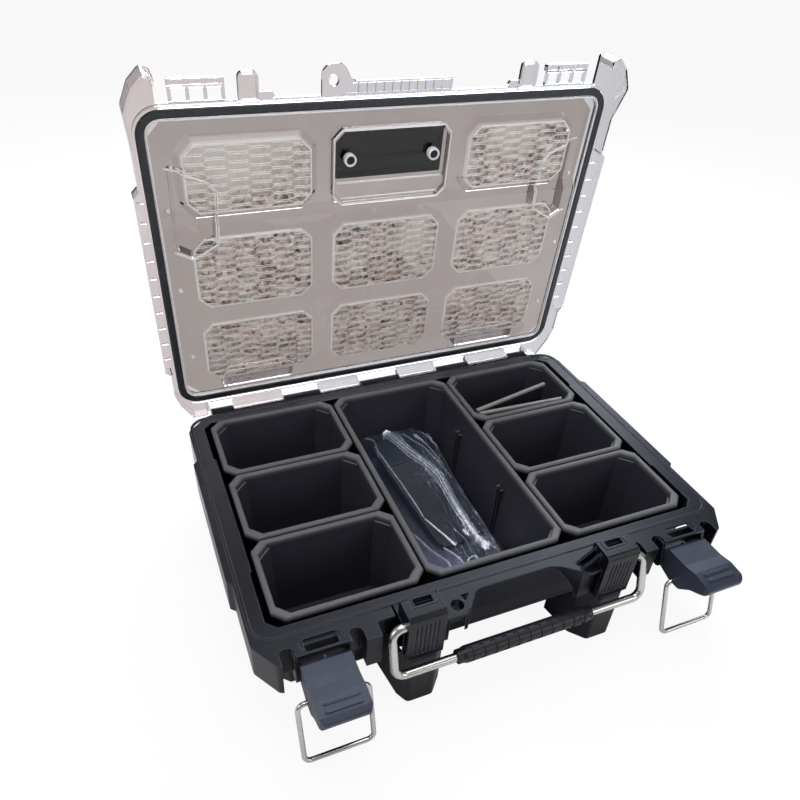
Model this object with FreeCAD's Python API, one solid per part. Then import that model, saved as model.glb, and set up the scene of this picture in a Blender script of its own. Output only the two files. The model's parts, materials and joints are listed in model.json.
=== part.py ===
"""Tool organizer case: a moulded tub of lift-out bins under a clear hinged lid.

All sizes are in millimetres. X runs to the right, Y runs back to the hinge and Z runs up.
The origin lies on the ground, under the centre of the block of bins. The lid is modelled
closed and then turned open about its hinge, which is how the case stands at rest.
"""

import FreeCAD
import Part
import math
import os

V = FreeCAD.Vector

# Lift-out bins: two outer columns of three, and one long bin between them.
BIN_WIDTH = 158.4
BIN_DEPTH = 105.8
CENTRE_BIN_WIDTH = 162.4
BIN_HEIGHT = 113.6
BIN_GAP = 2.6
BIN_ROWS = 3
BIN_CORNER = 12.0
BIN_WALL = 1.8
BIN_FLOOR = 1.8
BIN_DRAFT = 4.0
RIM_WIDTH = 6.5
RIM_DEPTH = 5.5
RIM_ROUND = 2.6
CORNER_LEDGE = 3.0
CORNER_LEDGE_DROP = 8.0
SLOT_RIB = 2.0
SLOT_OPENING = 3.2
SLOT_RIB_HEIGHT = 78.0
SLOT_PLACES = (77.0, -38.0)

# Tub and deck.
TUB_WALL = 2.6
TUB_FLOOR = 2.8
TUB_CORNER = 10.0
TUB_ROUND = 7.0
TUB_TAPER = 12.6
TUB_REAR_TAPER = 8.0
SIDE_GAP = 7.3
FRONT_GAP = 5.7
REAR_GAP = 0.8
DECK_TOP = 114.4
DECK_THICKNESS = 3.0
DECK_SIDE = 19.0
DECK_FRONT = 41.4
DECK_REAR = 15.9
DECK_ROUND = 7.0
BUMPER_OUT = 5.0
BUMPER_FRONT = -98.0
BUMPER_REAR = 89.0
SIDE_LIP = 2.5
APRON_DROP = 41.4
APRON_WALL = 2.6
APRON_RIB = 2.0
APRON_RIB_PITCH = 45.0

# Seal between deck and lid: a rib on the deck and a gasket in the lid's channel.
SEAL_MARGIN = 15.1
SEAL_FRONT_MARGIN = 11.1
SEAL_REAR_MARGIN = 11.1
SEAL_CORNER = 21.0
SEAL_RIB_WIDTH = 3.0
SEAL_RIB_HEIGHT = 1.0
SEAL_CLEARANCE = 0.3
GASKET_WIDTH = 8.4
GASKET_GROOVE = 9.0

# Hinge.
HINGE_BACK = 14.6
HINGE_Z = 106.2
LID_OPEN_ANGLE = 85.0
KNUCKLE_RADIUS = 6.0
HINGE_PIN_RADIUS = 2.0
PIN_CLEARANCE = 0.05
KNUCKLE_GAP = 0.5
KNUCKLE_INNER = (29.1, 87.3, 137.7)
KNUCKLE_OUTER = 34.7
KNUCKLE_WIDTH = 29.1

# Latches: an over-centre lever with a wire bail on each side.
LATCH_INSET = 62.0
LEVER_WIDTH = 48.4
LEVER_WALL = 2.6
LEVER_PIVOT_BACK = 7.9
LEVER_PIVOT_Z = 86.0
LATCH_PIN_RADIUS = 2.0
BAIL_WIRE_RADIUS = 2.5
BAIL_REACH = 10.3
BAIL_LENGTH = 68.5
BAIL_PIVOT_BACK = -29.2
BAIL_PIVOT_DOWN = -5.5
BAIL_TILT = 15.6
BAIL_BEND = 8.0
EAR_THICKNESS = 3.4
EAR_GAP = 0.6
NOTCH_HALF = 33.2
NOTCH_RADIUS = 6.8
NOTCH_DEPTH = 17.0
LATCH_SHELF_DEPTH = 4.9
LATCH_WINDOW_HALF = 16.0
LATCH_WINDOW_FRONT = 7.4
LATCH_WINDOW_REAR = 21.4
LATCH_WALL_RISE = 5.0

# Carrying handle and the stacking brackets that hold it.
BRACKET_INNER = 90.0
BRACKET_WIDTH = 39.0
BRACKET_DEPTH = 27.0
BRACKET_OVERHANG = 9.6
BRACKET_TOP = 135.8
BRACKET_WALL = 3.0
BRACKET_GROOVES = 6
BRACKET_SLOT_WIDTH = 19.4
BRACKET_SLOT_DEPTH = 8.2
BRACKET_SLOT_INSET = 3.8
HANDLE_OVERHANG = 2.1
HANDLE_AXIS_Z = 118.5
HANDLE_TILT = 16.0
HANDLE_DROP = 54.6
HANDLE_ARM_GAP = 9.8
HANDLE_ROD_RADIUS = 4.5
HANDLE_BEND = 11.0
HANDLE_SEAT_DEPTH = 16.5
ARM_ROOM = 22.0
RECESS_DEPTH = 18.8
RECESS_WALL = 2.6
GRIP_HALF = 79.0
GRIP_RADIUS = 8.6
GRIP_COLLAR = 6.0
GRIP_PITCH = 13.0
GRIP_GROOVES = 11
FOOT_HEIGHT = 73.0

# Padlock eye beside the left bracket.
PADLOCK_X = -70.7
PADLOCK_BACK = 7.4
PADLOCK_RADIUS = 6.8
EYE_DEPTH = 11.0
LID_PADLOCK_RADIUS = 5.4

# Lid, closed: heights above the ground.
LID_GAP = 2.2
LID_WALL = 2.5
WEB_RISE = 1.9
POCKET_RISE = 8.7
PAD_RISE = 0.4
POCKET_REAR = -71.0
POCKET_SLOPE = 10.0
CHANNEL_WALL = 2.2
SKIRT_WALL = 2.2
SKIRT_DROP = 12.3
GUARD_DROP = 23.6
SKIRT_OUT = 7.0
SKIRT_WIDE_OUT = 12.8
SKIRT_WIDE_FRONT = -103.4
SKIRT_WIDE_REAR = 114.6
SKIRT_CLEARANCE = 1.2
LID_FRONT_BORDER = 9.3
SIDE_RIBS = 10
PAD_INSET = 12.0
PAD_OFFSET = 1.5
PAD_CORNER = 12.0
PAD_ROWS = ((-147.3, -75.0), (-45.4, 40.6), (64.6, 146.1))
STRIKE_HALF = 26.7
STRIKE_SEAT_CLEARANCE = 0.4
POST_INSET = 121.5
POST_WIDTH = 20.0
GUIDE_TOP = 137.0
GUIDE_WALL = 2.4
LABEL_HALF = 64.0
LABEL_FRONT = -148.9
LABEL_REAR = -95.9
LABEL_THICKNESS = 2.5
LABEL_BOSS_X = 50.0
LABEL_BOSS_Y = -119.4
LABEL_BOSS_RADIUS = 6.6
LABEL_STUD_RADIUS = 4.2

# Loose contents: two dividers and a bag with a spare panel.
DIVIDER_END_ROOM = 17.2
DIVIDER_TAPER = 4.5
DIVIDER_WEB = 2.2
DIVIDER_BEAD = 5.0
DIVIDER_TOP = 112.0
FRONT_DIVIDER = (15.2, 19.6, -2.2)
SLANTED_DIVIDER = (14.0, 27.2, 12.4)
PANEL_LENGTH = 186.0
PANEL_WIDTH = 70.0
PANEL_THICKNESS = 8.0
PANEL_TURN = 9.3
PANEL_TILT = 11.0
PANEL_CENTRE = (13.0, 46.0, 27.8)
PANEL_CLEARANCE = 0.4
BAG_SIDE_GAP = 14.2
BAG_END_GAP = 16.0
BAG_FRONT_HEIGHT = 6.0
BAG_OVER_PANEL = 2.8
BAG_PANEL_SIDE = 1.2

# Derived places.
BLOCK_X = BIN_WIDTH + BIN_GAP + CENTRE_BIN_WIDTH / 2
BLOCK_Y = (BIN_ROWS * BIN_DEPTH + (BIN_ROWS - 1) * BIN_GAP) / 2
BIN_TOP = TUB_FLOOR + BIN_HEIGHT
OPENING_X = BLOCK_X + SIDE_GAP
OPENING_FRONT = -BLOCK_Y - FRONT_GAP
OPENING_REAR = BLOCK_Y + REAR_GAP
DECK_X = OPENING_X + DECK_SIDE
DECK_FRONT_Y = OPENING_FRONT - DECK_FRONT
DECK_REAR_Y = OPENING_REAR + DECK_REAR
DECK_UNDER = DECK_TOP - DECK_THICKNESS
APRON_FOOT = DECK_TOP - APRON_DROP
RECESS_Y = DECK_FRONT_Y + RECESS_DEPTH
HINGE_Y = DECK_REAR_Y + HINGE_BACK
KNUCKLE_END = DECK_X - KNUCKLE_OUTER
KNUCKLE_ENDS = KNUCKLE_INNER + (KNUCKLE_END - KNUCKLE_WIDTH, KNUCKLE_END)
LATCH_X = DECK_X - LATCH_INSET
LEVER_PIVOT_Y = DECK_FRONT_Y + LEVER_PIVOT_BACK
BAIL_HALF_WIDTH = LEVER_WIDTH / 2 + BAIL_REACH
NOTCH_END_Y = DECK_FRONT_Y + NOTCH_DEPTH
LATCH_SHELF_Y = DECK_FRONT_Y + LATCH_SHELF_DEPTH
BRACKET_OUTER = BRACKET_INNER + BRACKET_WIDTH
BRACKET_FRONT = DECK_FRONT_Y - BRACKET_OVERHANG
BRACKET_REAR = BRACKET_FRONT + BRACKET_DEPTH
HANDLE_AXIS_Y = DECK_FRONT_Y - HANDLE_OVERHANG
HANDLE_HALF = BRACKET_OUTER + HANDLE_ARM_GAP + HANDLE_ROD_RADIUS
HANDLE_SEAT = BRACKET_OUTER - HANDLE_SEAT_DEPTH
PADLOCK_Y = DECK_FRONT_Y + PADLOCK_BACK
SEAL_X = OPENING_X + SEAL_MARGIN
SEAL_FRONT = OPENING_FRONT - SEAL_FRONT_MARGIN
SEAL_REAR = OPENING_REAR + SEAL_REAR_MARGIN
SKIRT_X = DECK_X + SKIRT_OUT
SKIRT_WIDE_X = DECK_X + SKIRT_WIDE_OUT
GUARD_INNER_X = LATCH_X + NOTCH_HALF + 6.5
LID_FRONT = SEAL_FRONT - LID_FRONT_BORDER
PAD_HALF_WIDTH = BIN_WIDTH / 2 - PAD_INSET
PAD_COLUMN = BLOCK_X - BIN_WIDTH / 2 - PAD_OFFSET
DIVIDER_LENGTH = BIN_WIDTH - 2 * DIVIDER_END_ROOM
LID_PLANE = DECK_TOP + LID_GAP
WEB_Z = LID_PLANE + WEB_RISE
POCKET_Z = LID_PLANE + POCKET_RISE
PAD_Z = LID_PLANE + PAD_RISE
BAIL_AXIS_Y = LEVER_PIVOT_Y + BAIL_PIVOT_BACK
BAIL_AXIS_Z = LEVER_PIVOT_Z + BAIL_PIVOT_DOWN


# Outlines and solids

def rounded_edges(points, radii, closed=True):
    """Edges through the points, with a tangent arc of each corner's radius."""
    count = len(points)
    turns = []
    for index, corner in enumerate(points):
        radius = radii[index]
        at_end = not closed and index in (0, count - 1)
        if radius <= 0 or at_end:
            turns.append((corner, None, corner))
            continue
        back = (points[index - 1] - corner).normalize()
        ahead = (points[(index + 1) % count] - corner).normalize()
        half = back.getAngle(ahead) / 2
        reach = radius / math.tan(half)
        depth = radius / math.sin(half) - radius
        middle = corner + (back + ahead).normalize() * depth
        turns.append((corner + back * reach, middle, corner + ahead * reach))
    edges = []
    for index, (start, middle, end) in enumerate(turns):
        if middle is not None:
            edges.append(Part.Arc(start, middle, end).toShape())
        if index == count - 1 and not closed:
            break
        following = turns[(index + 1) % count][0]
        if end.distanceToPoint(following) > 1e-4:
            edges.append(Part.makeLine(end, following))
    return edges


def closed_face(points, radius):
    """A flat face through 3-D points, with one radius or one for each corner."""
    radii = radius if isinstance(radius, (list, tuple)) else [radius] * len(points)
    return Part.Face(Part.Wire(rounded_edges(points, radii)))


def plate(points, low, high, radius=0.0):
    """Plan outline, extruded up from one height to another."""
    face = closed_face([V(x, y, low) for x, y in points], radius)
    return face.extrude(V(0, 0, high - low))


def rail(points, left, right, radius=0.0):
    """Side outline of Y and Z, extruded to the right."""
    face = closed_face([V(left, y, z) for y, z in points], radius)
    return face.extrude(V(right - left, 0, 0))


def slab(points, front, back, radius=0.0):
    """Front outline of X and Z, extruded to the back."""
    face = closed_face([V(x, front, z) for x, z in points], radius)
    return face.extrude(V(0, back - front, 0))


def frustum(low_points, low, high_points, high):
    """Drafted solid between two plan outlines with the same number of corners."""
    wires = []
    for points, z in ((low_points, low), (high_points, high)):
        corners = [V(x, y, z) for x, y in points]
        wires.append(Part.makePolygon(corners + corners[:1]))
    return Part.makeLoft(wires, True, True)


def block(left, right, front, back, low, high):
    """Rectangular solid between six faces."""
    return Part.makeBox(right - left, back - front, high - low, V(left, front, low))


def rod(left, right, y, z, radius):
    """Cylinder along X."""
    return Part.makeCylinder(radius, right - left, V(left, y, z), V(1, 0, 0))


def post(x, y, low, high, radius):
    """Cylinder along Z."""
    return Part.makeCylinder(radius, high - low, V(x, y, low))


def rectangle(left, right, front, back):
    """Corner points of a rectangle."""
    return [(left, front), (right, front), (right, back), (left, back)]


def chamfered(left, right, front, back, cut):
    """Corner points of a rectangle with its four corners cut at 45 degrees."""
    return [
        (left + cut, front), (right - cut, front), (right, front + cut), (right, back - cut),
        (right - cut, back), (left + cut, back), (left, back - cut), (left, front + cut),
    ]


def mirrored(shape):
    """The same shape on the other side of the middle."""
    return shape.mirror(V(0, 0, 0), V(1, 0, 0))


def both_sides(shapes):
    """A list with each shape and its mirror image."""
    return shapes + [mirrored(shape) for shape in shapes]


def full_outline(right_half):
    """Closed outline from its right half, listed from front to back."""
    left_half = [(-x, y) for x, y in reversed(right_half)]
    return right_half + left_half


def swept_wire(points, bend, radius):
    """Round wire along a route with equal bends."""
    path = Part.Wire(rounded_edges(points, [bend] * len(points), closed=False))
    start = points[0]
    section = Part.Wire(Part.makeCircle(radius, start, points[1] - start))
    return path.makePipeShell([section], True, False)


def one_solid(shape):
    """Fused shape with its seams removed, as a plain solid where it is one."""
    clean = shape.removeSplitter()
    return clean.Solids[0] if len(clean.Solids) == 1 else clean


# Bins

def bin_body(left, right, front, back):
    """One open bin with a bull-nosed rim, drafted walls and ledges in its corners."""
    under_rim = BIN_TOP - RIM_DEPTH
    wall_top = RIM_WIDTH - BIN_WALL
    wall_foot = wall_top + BIN_DRAFT

    def inset(amount, cut):
        return chamfered(left + amount, right - amount, front + amount, back - amount, cut)

    rim = plate(inset(0, BIN_CORNER), under_rim, BIN_TOP)
    body = frustum(inset(wall_foot, BIN_CORNER), TUB_FLOOR, inset(wall_top, BIN_CORNER), BIN_TOP)
    mouth = plate(inset(RIM_WIDTH, BIN_CORNER), BIN_TOP - CORNER_LEDGE_DROP, BIN_TOP)
    solid = body.fuse(rim).cut(mouth).removeSplitter()
    rim_edges = [edge for edge in solid.Edges
                 if abs(edge.BoundBox.ZMin - BIN_TOP) < 1e-3 and edge.BoundBox.ZLength < 1e-3]
    solid = solid.makeFillet(RIM_ROUND, rim_edges)
    inner_foot = wall_foot + BIN_WALL
    inner_cut = BIN_CORNER + CORNER_LEDGE
    cavity = frustum(inset(inner_foot, inner_cut), TUB_FLOOR + BIN_FLOOR,
                     inset(RIM_WIDTH, inner_cut), BIN_TOP - CORNER_LEDGE_DROP)
    return solid.cut(cavity)


def divider_slot(side, y):
    """Pair of upright ribs on a long wall, flared at the top, that hold a divider."""
    foot = TUB_FLOOR + BIN_FLOOR
    wall = CENTRE_BIN_WIDTH / 2 - RIM_WIDTH
    deep = wall - SLOT_RIB - BIN_DRAFT
    top = foot + SLOT_RIB_HEIGHT
    half = SLOT_OPENING / 2
    flare = half + SLOT_RIB
    ribs = []
    for way in (-1, 1):
        inner = y + way * half
        outer = inner + way * SLOT_RIB
        tip = y + way * (flare + SLOT_RIB)
        points = [(inner, foot), (outer, foot), (outer, top - flare), (tip, top),
                  (tip - way * SLOT_RIB, top), (inner, top - flare)]
        ribs.append(rail(points, deep, wall + 1.0))
    pair = ribs[0].fuse(ribs[1])
    return pair if side > 0 else mirrored(pair)


def centre_bin():
    """The long middle bin, with divider slots on its two long walls."""
    half = CENTRE_BIN_WIDTH / 2
    solid = bin_body(-half, half, -BLOCK_Y, BLOCK_Y)
    ribs = [divider_slot(side, y) for side in (-1, 1) for y in SLOT_PLACES]
    return one_solid(solid.fuse(ribs))


def small_bins():
    """The six outer bins by name."""
    rows = ("front", "middle", "rear")
    bins = {}
    for row, row_name in enumerate(rows):
        front = -BLOCK_Y + row * (BIN_DEPTH + BIN_GAP)
        right_bin = bin_body(BLOCK_X - BIN_WIDTH, BLOCK_X, front, front + BIN_DEPTH)
        bins["bin_right_" + row_name] = right_bin
        bins["bin_left_" + row_name] = mirrored(right_bin)
    return bins


# Base shell

def deck_half():
    """Right half of the deck's outer edge, front to back."""
    corner_x = DECK_X - 18.5
    return [
        (corner_x, DECK_FRONT_Y), (DECK_X, DECK_FRONT_Y + 29.0),
        (DECK_X, BUMPER_FRONT - BUMPER_OUT), (DECK_X + BUMPER_OUT, BUMPER_FRONT),
        (DECK_X + BUMPER_OUT, BUMPER_REAR), (DECK_X, BUMPER_REAR + BUMPER_OUT),
        (DECK_X, DECK_REAR_Y - 26.0), (DECK_X - 27.0, DECK_REAR_Y),
    ]


def deck_radii():
    """Corner radii that go with the deck's outer edge."""
    half = [DECK_ROUND, DECK_ROUND, 0, 1.5, 1.5, 0, DECK_ROUND, DECK_ROUND]
    return half + half[::-1]


def deck_prism(low, high, grow=0.0):
    """Deck outline as a solid, grown outwards or shrunk by one distance."""
    points = [V(x, y, low) for x, y in full_outline(deck_half())]
    face = closed_face(points, deck_radii())
    if grow:
        face = Part.Face(face.OuterWire.makeOffset2D(grow))
    return face.extrude(V(0, 0, high - low))


def tub_outline(z, wall):
    """Plan of the tub at one height, outside or inside its wall."""
    share = (DECK_TOP - z) / (DECK_TOP - TUB_FLOOR)
    side = OPENING_X - TUB_TAPER * share + wall
    front = OPENING_FRONT + TUB_TAPER * share - wall
    rear = OPENING_REAR - TUB_REAR_TAPER * share + wall
    return chamfered(-side, side, front, rear, TUB_CORNER)


def tub():
    """Drafted outside of the tub, rounded where it meets the ground."""
    solid = frustum(tub_outline(0, TUB_WALL), 0, tub_outline(DECK_UNDER, TUB_WALL), DECK_UNDER)
    foot_edges = [edge for edge in solid.Edges if edge.BoundBox.ZMax < 1e-3]
    return solid.makeFillet(TUB_ROUND, foot_edges)


def tub_cavity():
    """Inside of the tub, from its floor up through the deck."""
    return frustum(tub_outline(TUB_FLOOR, 0), TUB_FLOOR, tub_outline(DECK_TOP, 0), DECK_TOP)


def side_lip():
    """Narrower edge of the opening beside the middle of the right column of bins."""
    front = BUMPER_FRONT + 6.0
    back = BUMPER_REAR
    outer = OPENING_X + 1.0
    inner = OPENING_X - SIDE_LIP
    points = [(outer, front - SIDE_LIP), (inner, front), (inner, back), (outer, back + SIDE_LIP)]
    return plate(points, DECK_UNDER, DECK_TOP)


def seal_rib():
    """Raised rib round the opening, which the lid's gasket closes over."""
    half = SEAL_RIB_WIDTH / 2
    rings = []
    for grow in (half, -half):
        points = rectangle(-SEAL_X - grow, SEAL_X + grow, SEAL_FRONT - grow, SEAL_REAR + grow)
        rings.append(plate(points, DECK_TOP - 1.0, DECK_TOP + SEAL_RIB_HEIGHT, SEAL_CORNER + grow))
    return rings[0].cut(rings[1])


def apron():
    """Wall that hangs from the outer edge of the deck."""
    outer = deck_prism(APRON_FOOT, DECK_UNDER)
    inner = deck_prism(APRON_FOOT - 1.0, DECK_UNDER, -APRON_WALL)
    return outer.cut(inner)


def tub_side_x(z):
    """Outside of the tub's side wall at one height."""
    return tub_outline(z, TUB_WALL)[2][0]


def tub_rear_y(z):
    """Outside of the tub's rear wall at one height."""
    return tub_outline(z, TUB_WALL)[4][1]


def apron_ribs():
    """Stiffening ribs between the tub and the apron, along the sides and the back."""
    foot = APRON_FOOT + 8.0
    ribs = []
    side_count = int((DECK_REAR_Y - DECK_FRONT_Y) / APRON_RIB_PITCH) - 1
    for index in range(side_count):
        y = DECK_FRONT_Y + 60.0 + index * APRON_RIB_PITCH
        points = [(tub_side_x(DECK_UNDER) - 1.0, DECK_UNDER), (DECK_X - 1.0, DECK_UNDER),
                  (DECK_X - 1.0, foot + 12.0), (tub_side_x(foot) - 1.0, foot)]
        ribs.append(slab(points, y, y + APRON_RIB))
    rear_count = int(2 * (DECK_X - 30.0) / APRON_RIB_PITCH)
    for index in range(rear_count + 1):
        x = (index - rear_count / 2) * APRON_RIB_PITCH
        points = [(tub_rear_y(DECK_UNDER) - 1.0, DECK_UNDER), (DECK_REAR_Y - 1.0, DECK_UNDER),
                  (DECK_REAR_Y - 1.0, foot + 12.0), (tub_rear_y(foot) - 1.0, foot)]
        ribs.append(rail(points, x - APRON_RIB / 2, x + APRON_RIB / 2))
    return ribs[:side_count] + [mirrored(rib) for rib in ribs[:side_count]] + ribs[side_count:]


def stack_foot(inset=0.0, low=0.0, high=FOOT_HEIGHT):
    """Front foot under the right bracket, widening back to the tub."""
    rear = OPENING_FRONT + 4.0
    points = [
        (BRACKET_INNER - 16.0 + inset, rear), (BRACKET_INNER - 9.0 + inset, DECK_FRONT_Y + 7.4 + inset),
        (BRACKET_INNER + 6.0 + inset / 2, BRACKET_FRONT + inset),
        (BRACKET_OUTER - 5.0 - inset / 2, BRACKET_FRONT + inset),
        (BRACKET_OUTER + 2.0 - inset, DECK_FRONT_Y + 3.4 + inset), (BRACKET_OUTER + 8.0 - inset, rear),
    ]
    return plate(points, low, high, [0, 5.0, 6.0, 6.0, 5.0, 0])


def latch_housing():
    """Back wall, cheeks and pivot ears of the right latch."""
    cheek = NOTCH_HALF + NOTCH_RADIUS
    back_front = NOTCH_END_Y
    back = block(LATCH_X - cheek - APRON_WALL, LATCH_X + cheek + APRON_WALL,
                 back_front, back_front + APRON_WALL, APRON_FOOT + LATCH_WALL_RISE, DECK_UNDER)
    parts = [back]
    for way in (-1, 1):
        edge = LATCH_X + way * cheek
        outer = edge + way * APRON_WALL
        parts.append(block(min(edge, outer), max(edge, outer), DECK_FRONT_Y + 1.0, back_front,
                           APRON_FOOT, DECK_UNDER))
        inner = LATCH_X + way * (LEVER_WIDTH / 2 + EAR_GAP)
        far = inner + way * EAR_THICKNESS
        parts.append(latch_ear(min(inner, far), max(inner, far)))
    return parts


def latch_ear(left, right):
    """One ear that carries the lever's pin."""
    y = LEVER_PIVOT_Y
    z = LEVER_PIVOT_Z
    points = [(NOTCH_END_Y + 1.0, DECK_UNDER), (y - 2.0, DECK_UNDER), (y - 8.0, z + 1.0),
              (y - 7.0, z - 8.0), (y + 2.0, z - 8.0), (NOTCH_END_Y + 1.0, z - 4.0)]
    return rail(points, left, right, [0, 0, 4.0, 6.0, 3.0, 0])


def latch_cuts():
    """Room for the right latch: the lever's recess, the wire notches and the window."""
    cheek = NOTCH_HALF + NOTCH_RADIUS
    shelf_half = NOTCH_HALF - NOTCH_RADIUS
    front = DECK_FRONT_Y - 5.0
    cuts = [block(LATCH_X - cheek, LATCH_X + cheek, front, NOTCH_END_Y, APRON_FOOT - 2.0, DECK_UNDER),
            block(LATCH_X - shelf_half, LATCH_X + shelf_half, front, LATCH_SHELF_Y,
                  APRON_FOOT - 2.0, DECK_TOP + 1.0)]
    for way in (-1, 1):
        x = LATCH_X + way * NOTCH_HALF
        points = rectangle(x - NOTCH_RADIUS, x + NOTCH_RADIUS, front, NOTCH_END_Y)
        cuts.append(plate(points, APRON_FOOT - 2.0, DECK_TOP + 1.0,
                          [0, 0, NOTCH_RADIUS - 0.1, NOTCH_RADIUS - 0.1]))
    window_front = DECK_FRONT_Y + LATCH_WINDOW_FRONT
    window_rear = DECK_FRONT_Y + LATCH_WINDOW_REAR
    window = rectangle(LATCH_X - LATCH_WINDOW_HALF, LATCH_X + LATCH_WINDOW_HALF,
                       window_front, window_rear)
    cuts.append(plate(window, DECK_UNDER - 2.0, DECK_TOP + 1.0, 2.0))
    steps = rectangle(LATCH_X - LATCH_WINDOW_HALF - 4.0, LATCH_X + LATCH_WINDOW_HALF + 4.0,
                      window_front + 4.0, window_rear - 2.0)
    cuts.append(plate(steps, DECK_TOP - 1.6, DECK_TOP + 1.0, 1.0))
    return cuts


def front_lugs():
    """Deck pieces that reach forward between the brackets."""
    reach = DECK_FRONT_Y - 4.3
    rear = OPENING_FRONT - 12.0
    left = plate([(-BRACKET_INNER, rear), (-BRACKET_INNER, reach), (-64.0, reach), (-46.0, rear)],
                 DECK_UNDER, DECK_TOP, [0, 0, 3.0, 0])
    right = plate([(46.0, rear), (74.6, reach), (BRACKET_INNER, reach), (BRACKET_INNER, rear)],
                  DECK_UNDER, DECK_TOP, [0, 6.0, 0, 0])
    return [left, right]


def recess_face(z):
    """Plan of the finger recess in the front of the deck."""
    front = DECK_FRONT_Y - 3.0
    points = [(-64.0, front), (-61.0, DECK_FRONT_Y - 2.0), (-46.5, RECESS_Y - 2.9), (-40.0, RECESS_Y),
              (41.0, RECESS_Y), (52.0, RECESS_Y - 4.0), (74.0, DECK_FRONT_Y - 2.0), (76.0, front)]
    return closed_face([V(x, y, z) for x, y in points], [0, 1.0, 5.0, 5.0, 8.0, 8.0, 1.0, 0])


def eye_pocket(grow=0.0):
    """Room under the padlock eye, open to the front, or the same grown by its wall."""
    return block(PADLOCK_X - 9.5 - grow, PADLOCK_X + 14.0, DECK_FRONT_Y, PADLOCK_Y + 9.2 + grow,
                 APRON_FOOT, DECK_UNDER)


def handle_recess():
    """Cut for the fingers in the front of the deck and apron."""
    low = APRON_FOOT - 12.0
    return recess_face(low).extrude(V(0, 0, DECK_TOP + 1.0 - low))


def recess_wall():
    """Wall round the recess, and the sloping back that leads down to its lip."""
    low = APRON_FOOT + 8.0
    inner = recess_face(low)
    outer = Part.Face(inner.OuterWire.makeOffset2D(RECESS_WALL))
    rise = V(0, 0, DECK_UNDER + 1.0 - low)
    ring = outer.cut(inner).extrude(rise)
    keep = block(-90.0, 90.0, DECK_FRONT_Y, 0, low, DECK_TOP)
    lip_y = DECK_FRONT_Y + 3.8
    wall = APRON_WALL
    points = [(RECESS_Y + 0.5, DECK_TOP - 0.5), (RECESS_Y - 10.0, 97.0), (lip_y, 86.0), (lip_y, low),
              (lip_y + wall, low), (lip_y + wall, 86.6), (RECESS_Y - 7.6, 98.0),
              (RECESS_Y + wall, DECK_TOP - 0.5)]
    back = rail(points, -72.0, 84.0, [0, 3.0, 2.0, 1.0, 1.0, 2.0, 3.0, 0])
    return ring.common(keep).fuse(back.common(outer.extrude(V(0, 0, DECK_TOP - low))))


def bracket_notch():
    """Gap beside the right bracket where the handle's arm hangs."""
    slot_end = DECK_FRONT_Y + 30.4
    room_end = DECK_FRONT_Y + 16.4
    outer = BRACKET_OUTER + ARM_ROOM
    points = [(BRACKET_OUTER + 0.3, DECK_FRONT_Y - 5.0), (BRACKET_OUTER + 0.3, slot_end),
              (BRACKET_OUTER + 3.0, slot_end), (BRACKET_OUTER + 3.0, room_end),
              (outer, room_end), (outer, DECK_FRONT_Y - 5.0)]
    return plate(points, APRON_FOOT - 2.0, DECK_TOP + 1.0, [0, 1.0, 1.0, 0, 4.0, 0])


def notch_walls():
    """Walls that close the apron behind the right bracket's notch."""
    wall = APRON_WALL
    slot_end = DECK_FRONT_Y + 30.4
    outer = BRACKET_OUTER + ARM_ROOM
    back = block(BRACKET_OUTER - 8.0, outer + wall, slot_end, slot_end + wall, APRON_FOOT, DECK_UNDER)
    side = block(outer, outer + wall, DECK_FRONT_Y + 1.0, slot_end + wall, APRON_FOOT, DECK_UNDER)
    return [back, side]


def base_knuckle(left, right):
    """Hinge barrel on the tub's side, with its arm from the rear wall."""
    barrel = rod(left, right, HINGE_Y, HINGE_Z, KNUCKLE_RADIUS)
    top = HINGE_Z + KNUCKLE_RADIUS
    points = [(DECK_REAR_Y - 1.0, DECK_UNDER), (DECK_REAR_Y + 2.0, top), (HINGE_Y, top),
              (HINGE_Y, HINGE_Z - KNUCKLE_RADIUS), (DECK_REAR_Y - 1.0, HINGE_Z - KNUCKLE_RADIUS - 9.0)]
    return barrel.fuse(rail(points, left, right))


def base_knuckles():
    """All hinge barrels of the base."""
    ends = KNUCKLE_ENDS
    middle = base_knuckle(-ends[0] + KNUCKLE_GAP, ends[0] - KNUCKLE_GAP)
    inner = base_knuckle(ends[1] + KNUCKLE_GAP, ends[2] - KNUCKLE_GAP)
    outer = base_knuckle(ends[3] + KNUCKLE_GAP, ends[4])
    return [middle] + both_sides([inner, outer])


def foot_hollow():
    """Inside of the right front foot, open at the top behind the apron."""
    low = TUB_FLOOR
    lower = stack_foot(TUB_WALL, low, FOOT_HEIGHT - TUB_WALL)
    upper = stack_foot(TUB_WALL, low, FOOT_HEIGHT + 1.0)
    keep = block(BRACKET_INNER - 30.0, BRACKET_OUTER + 30.0, DECK_FRONT_Y + APRON_WALL, 0, 0, DECK_TOP)
    return lower.fuse(upper.common(keep))


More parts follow.
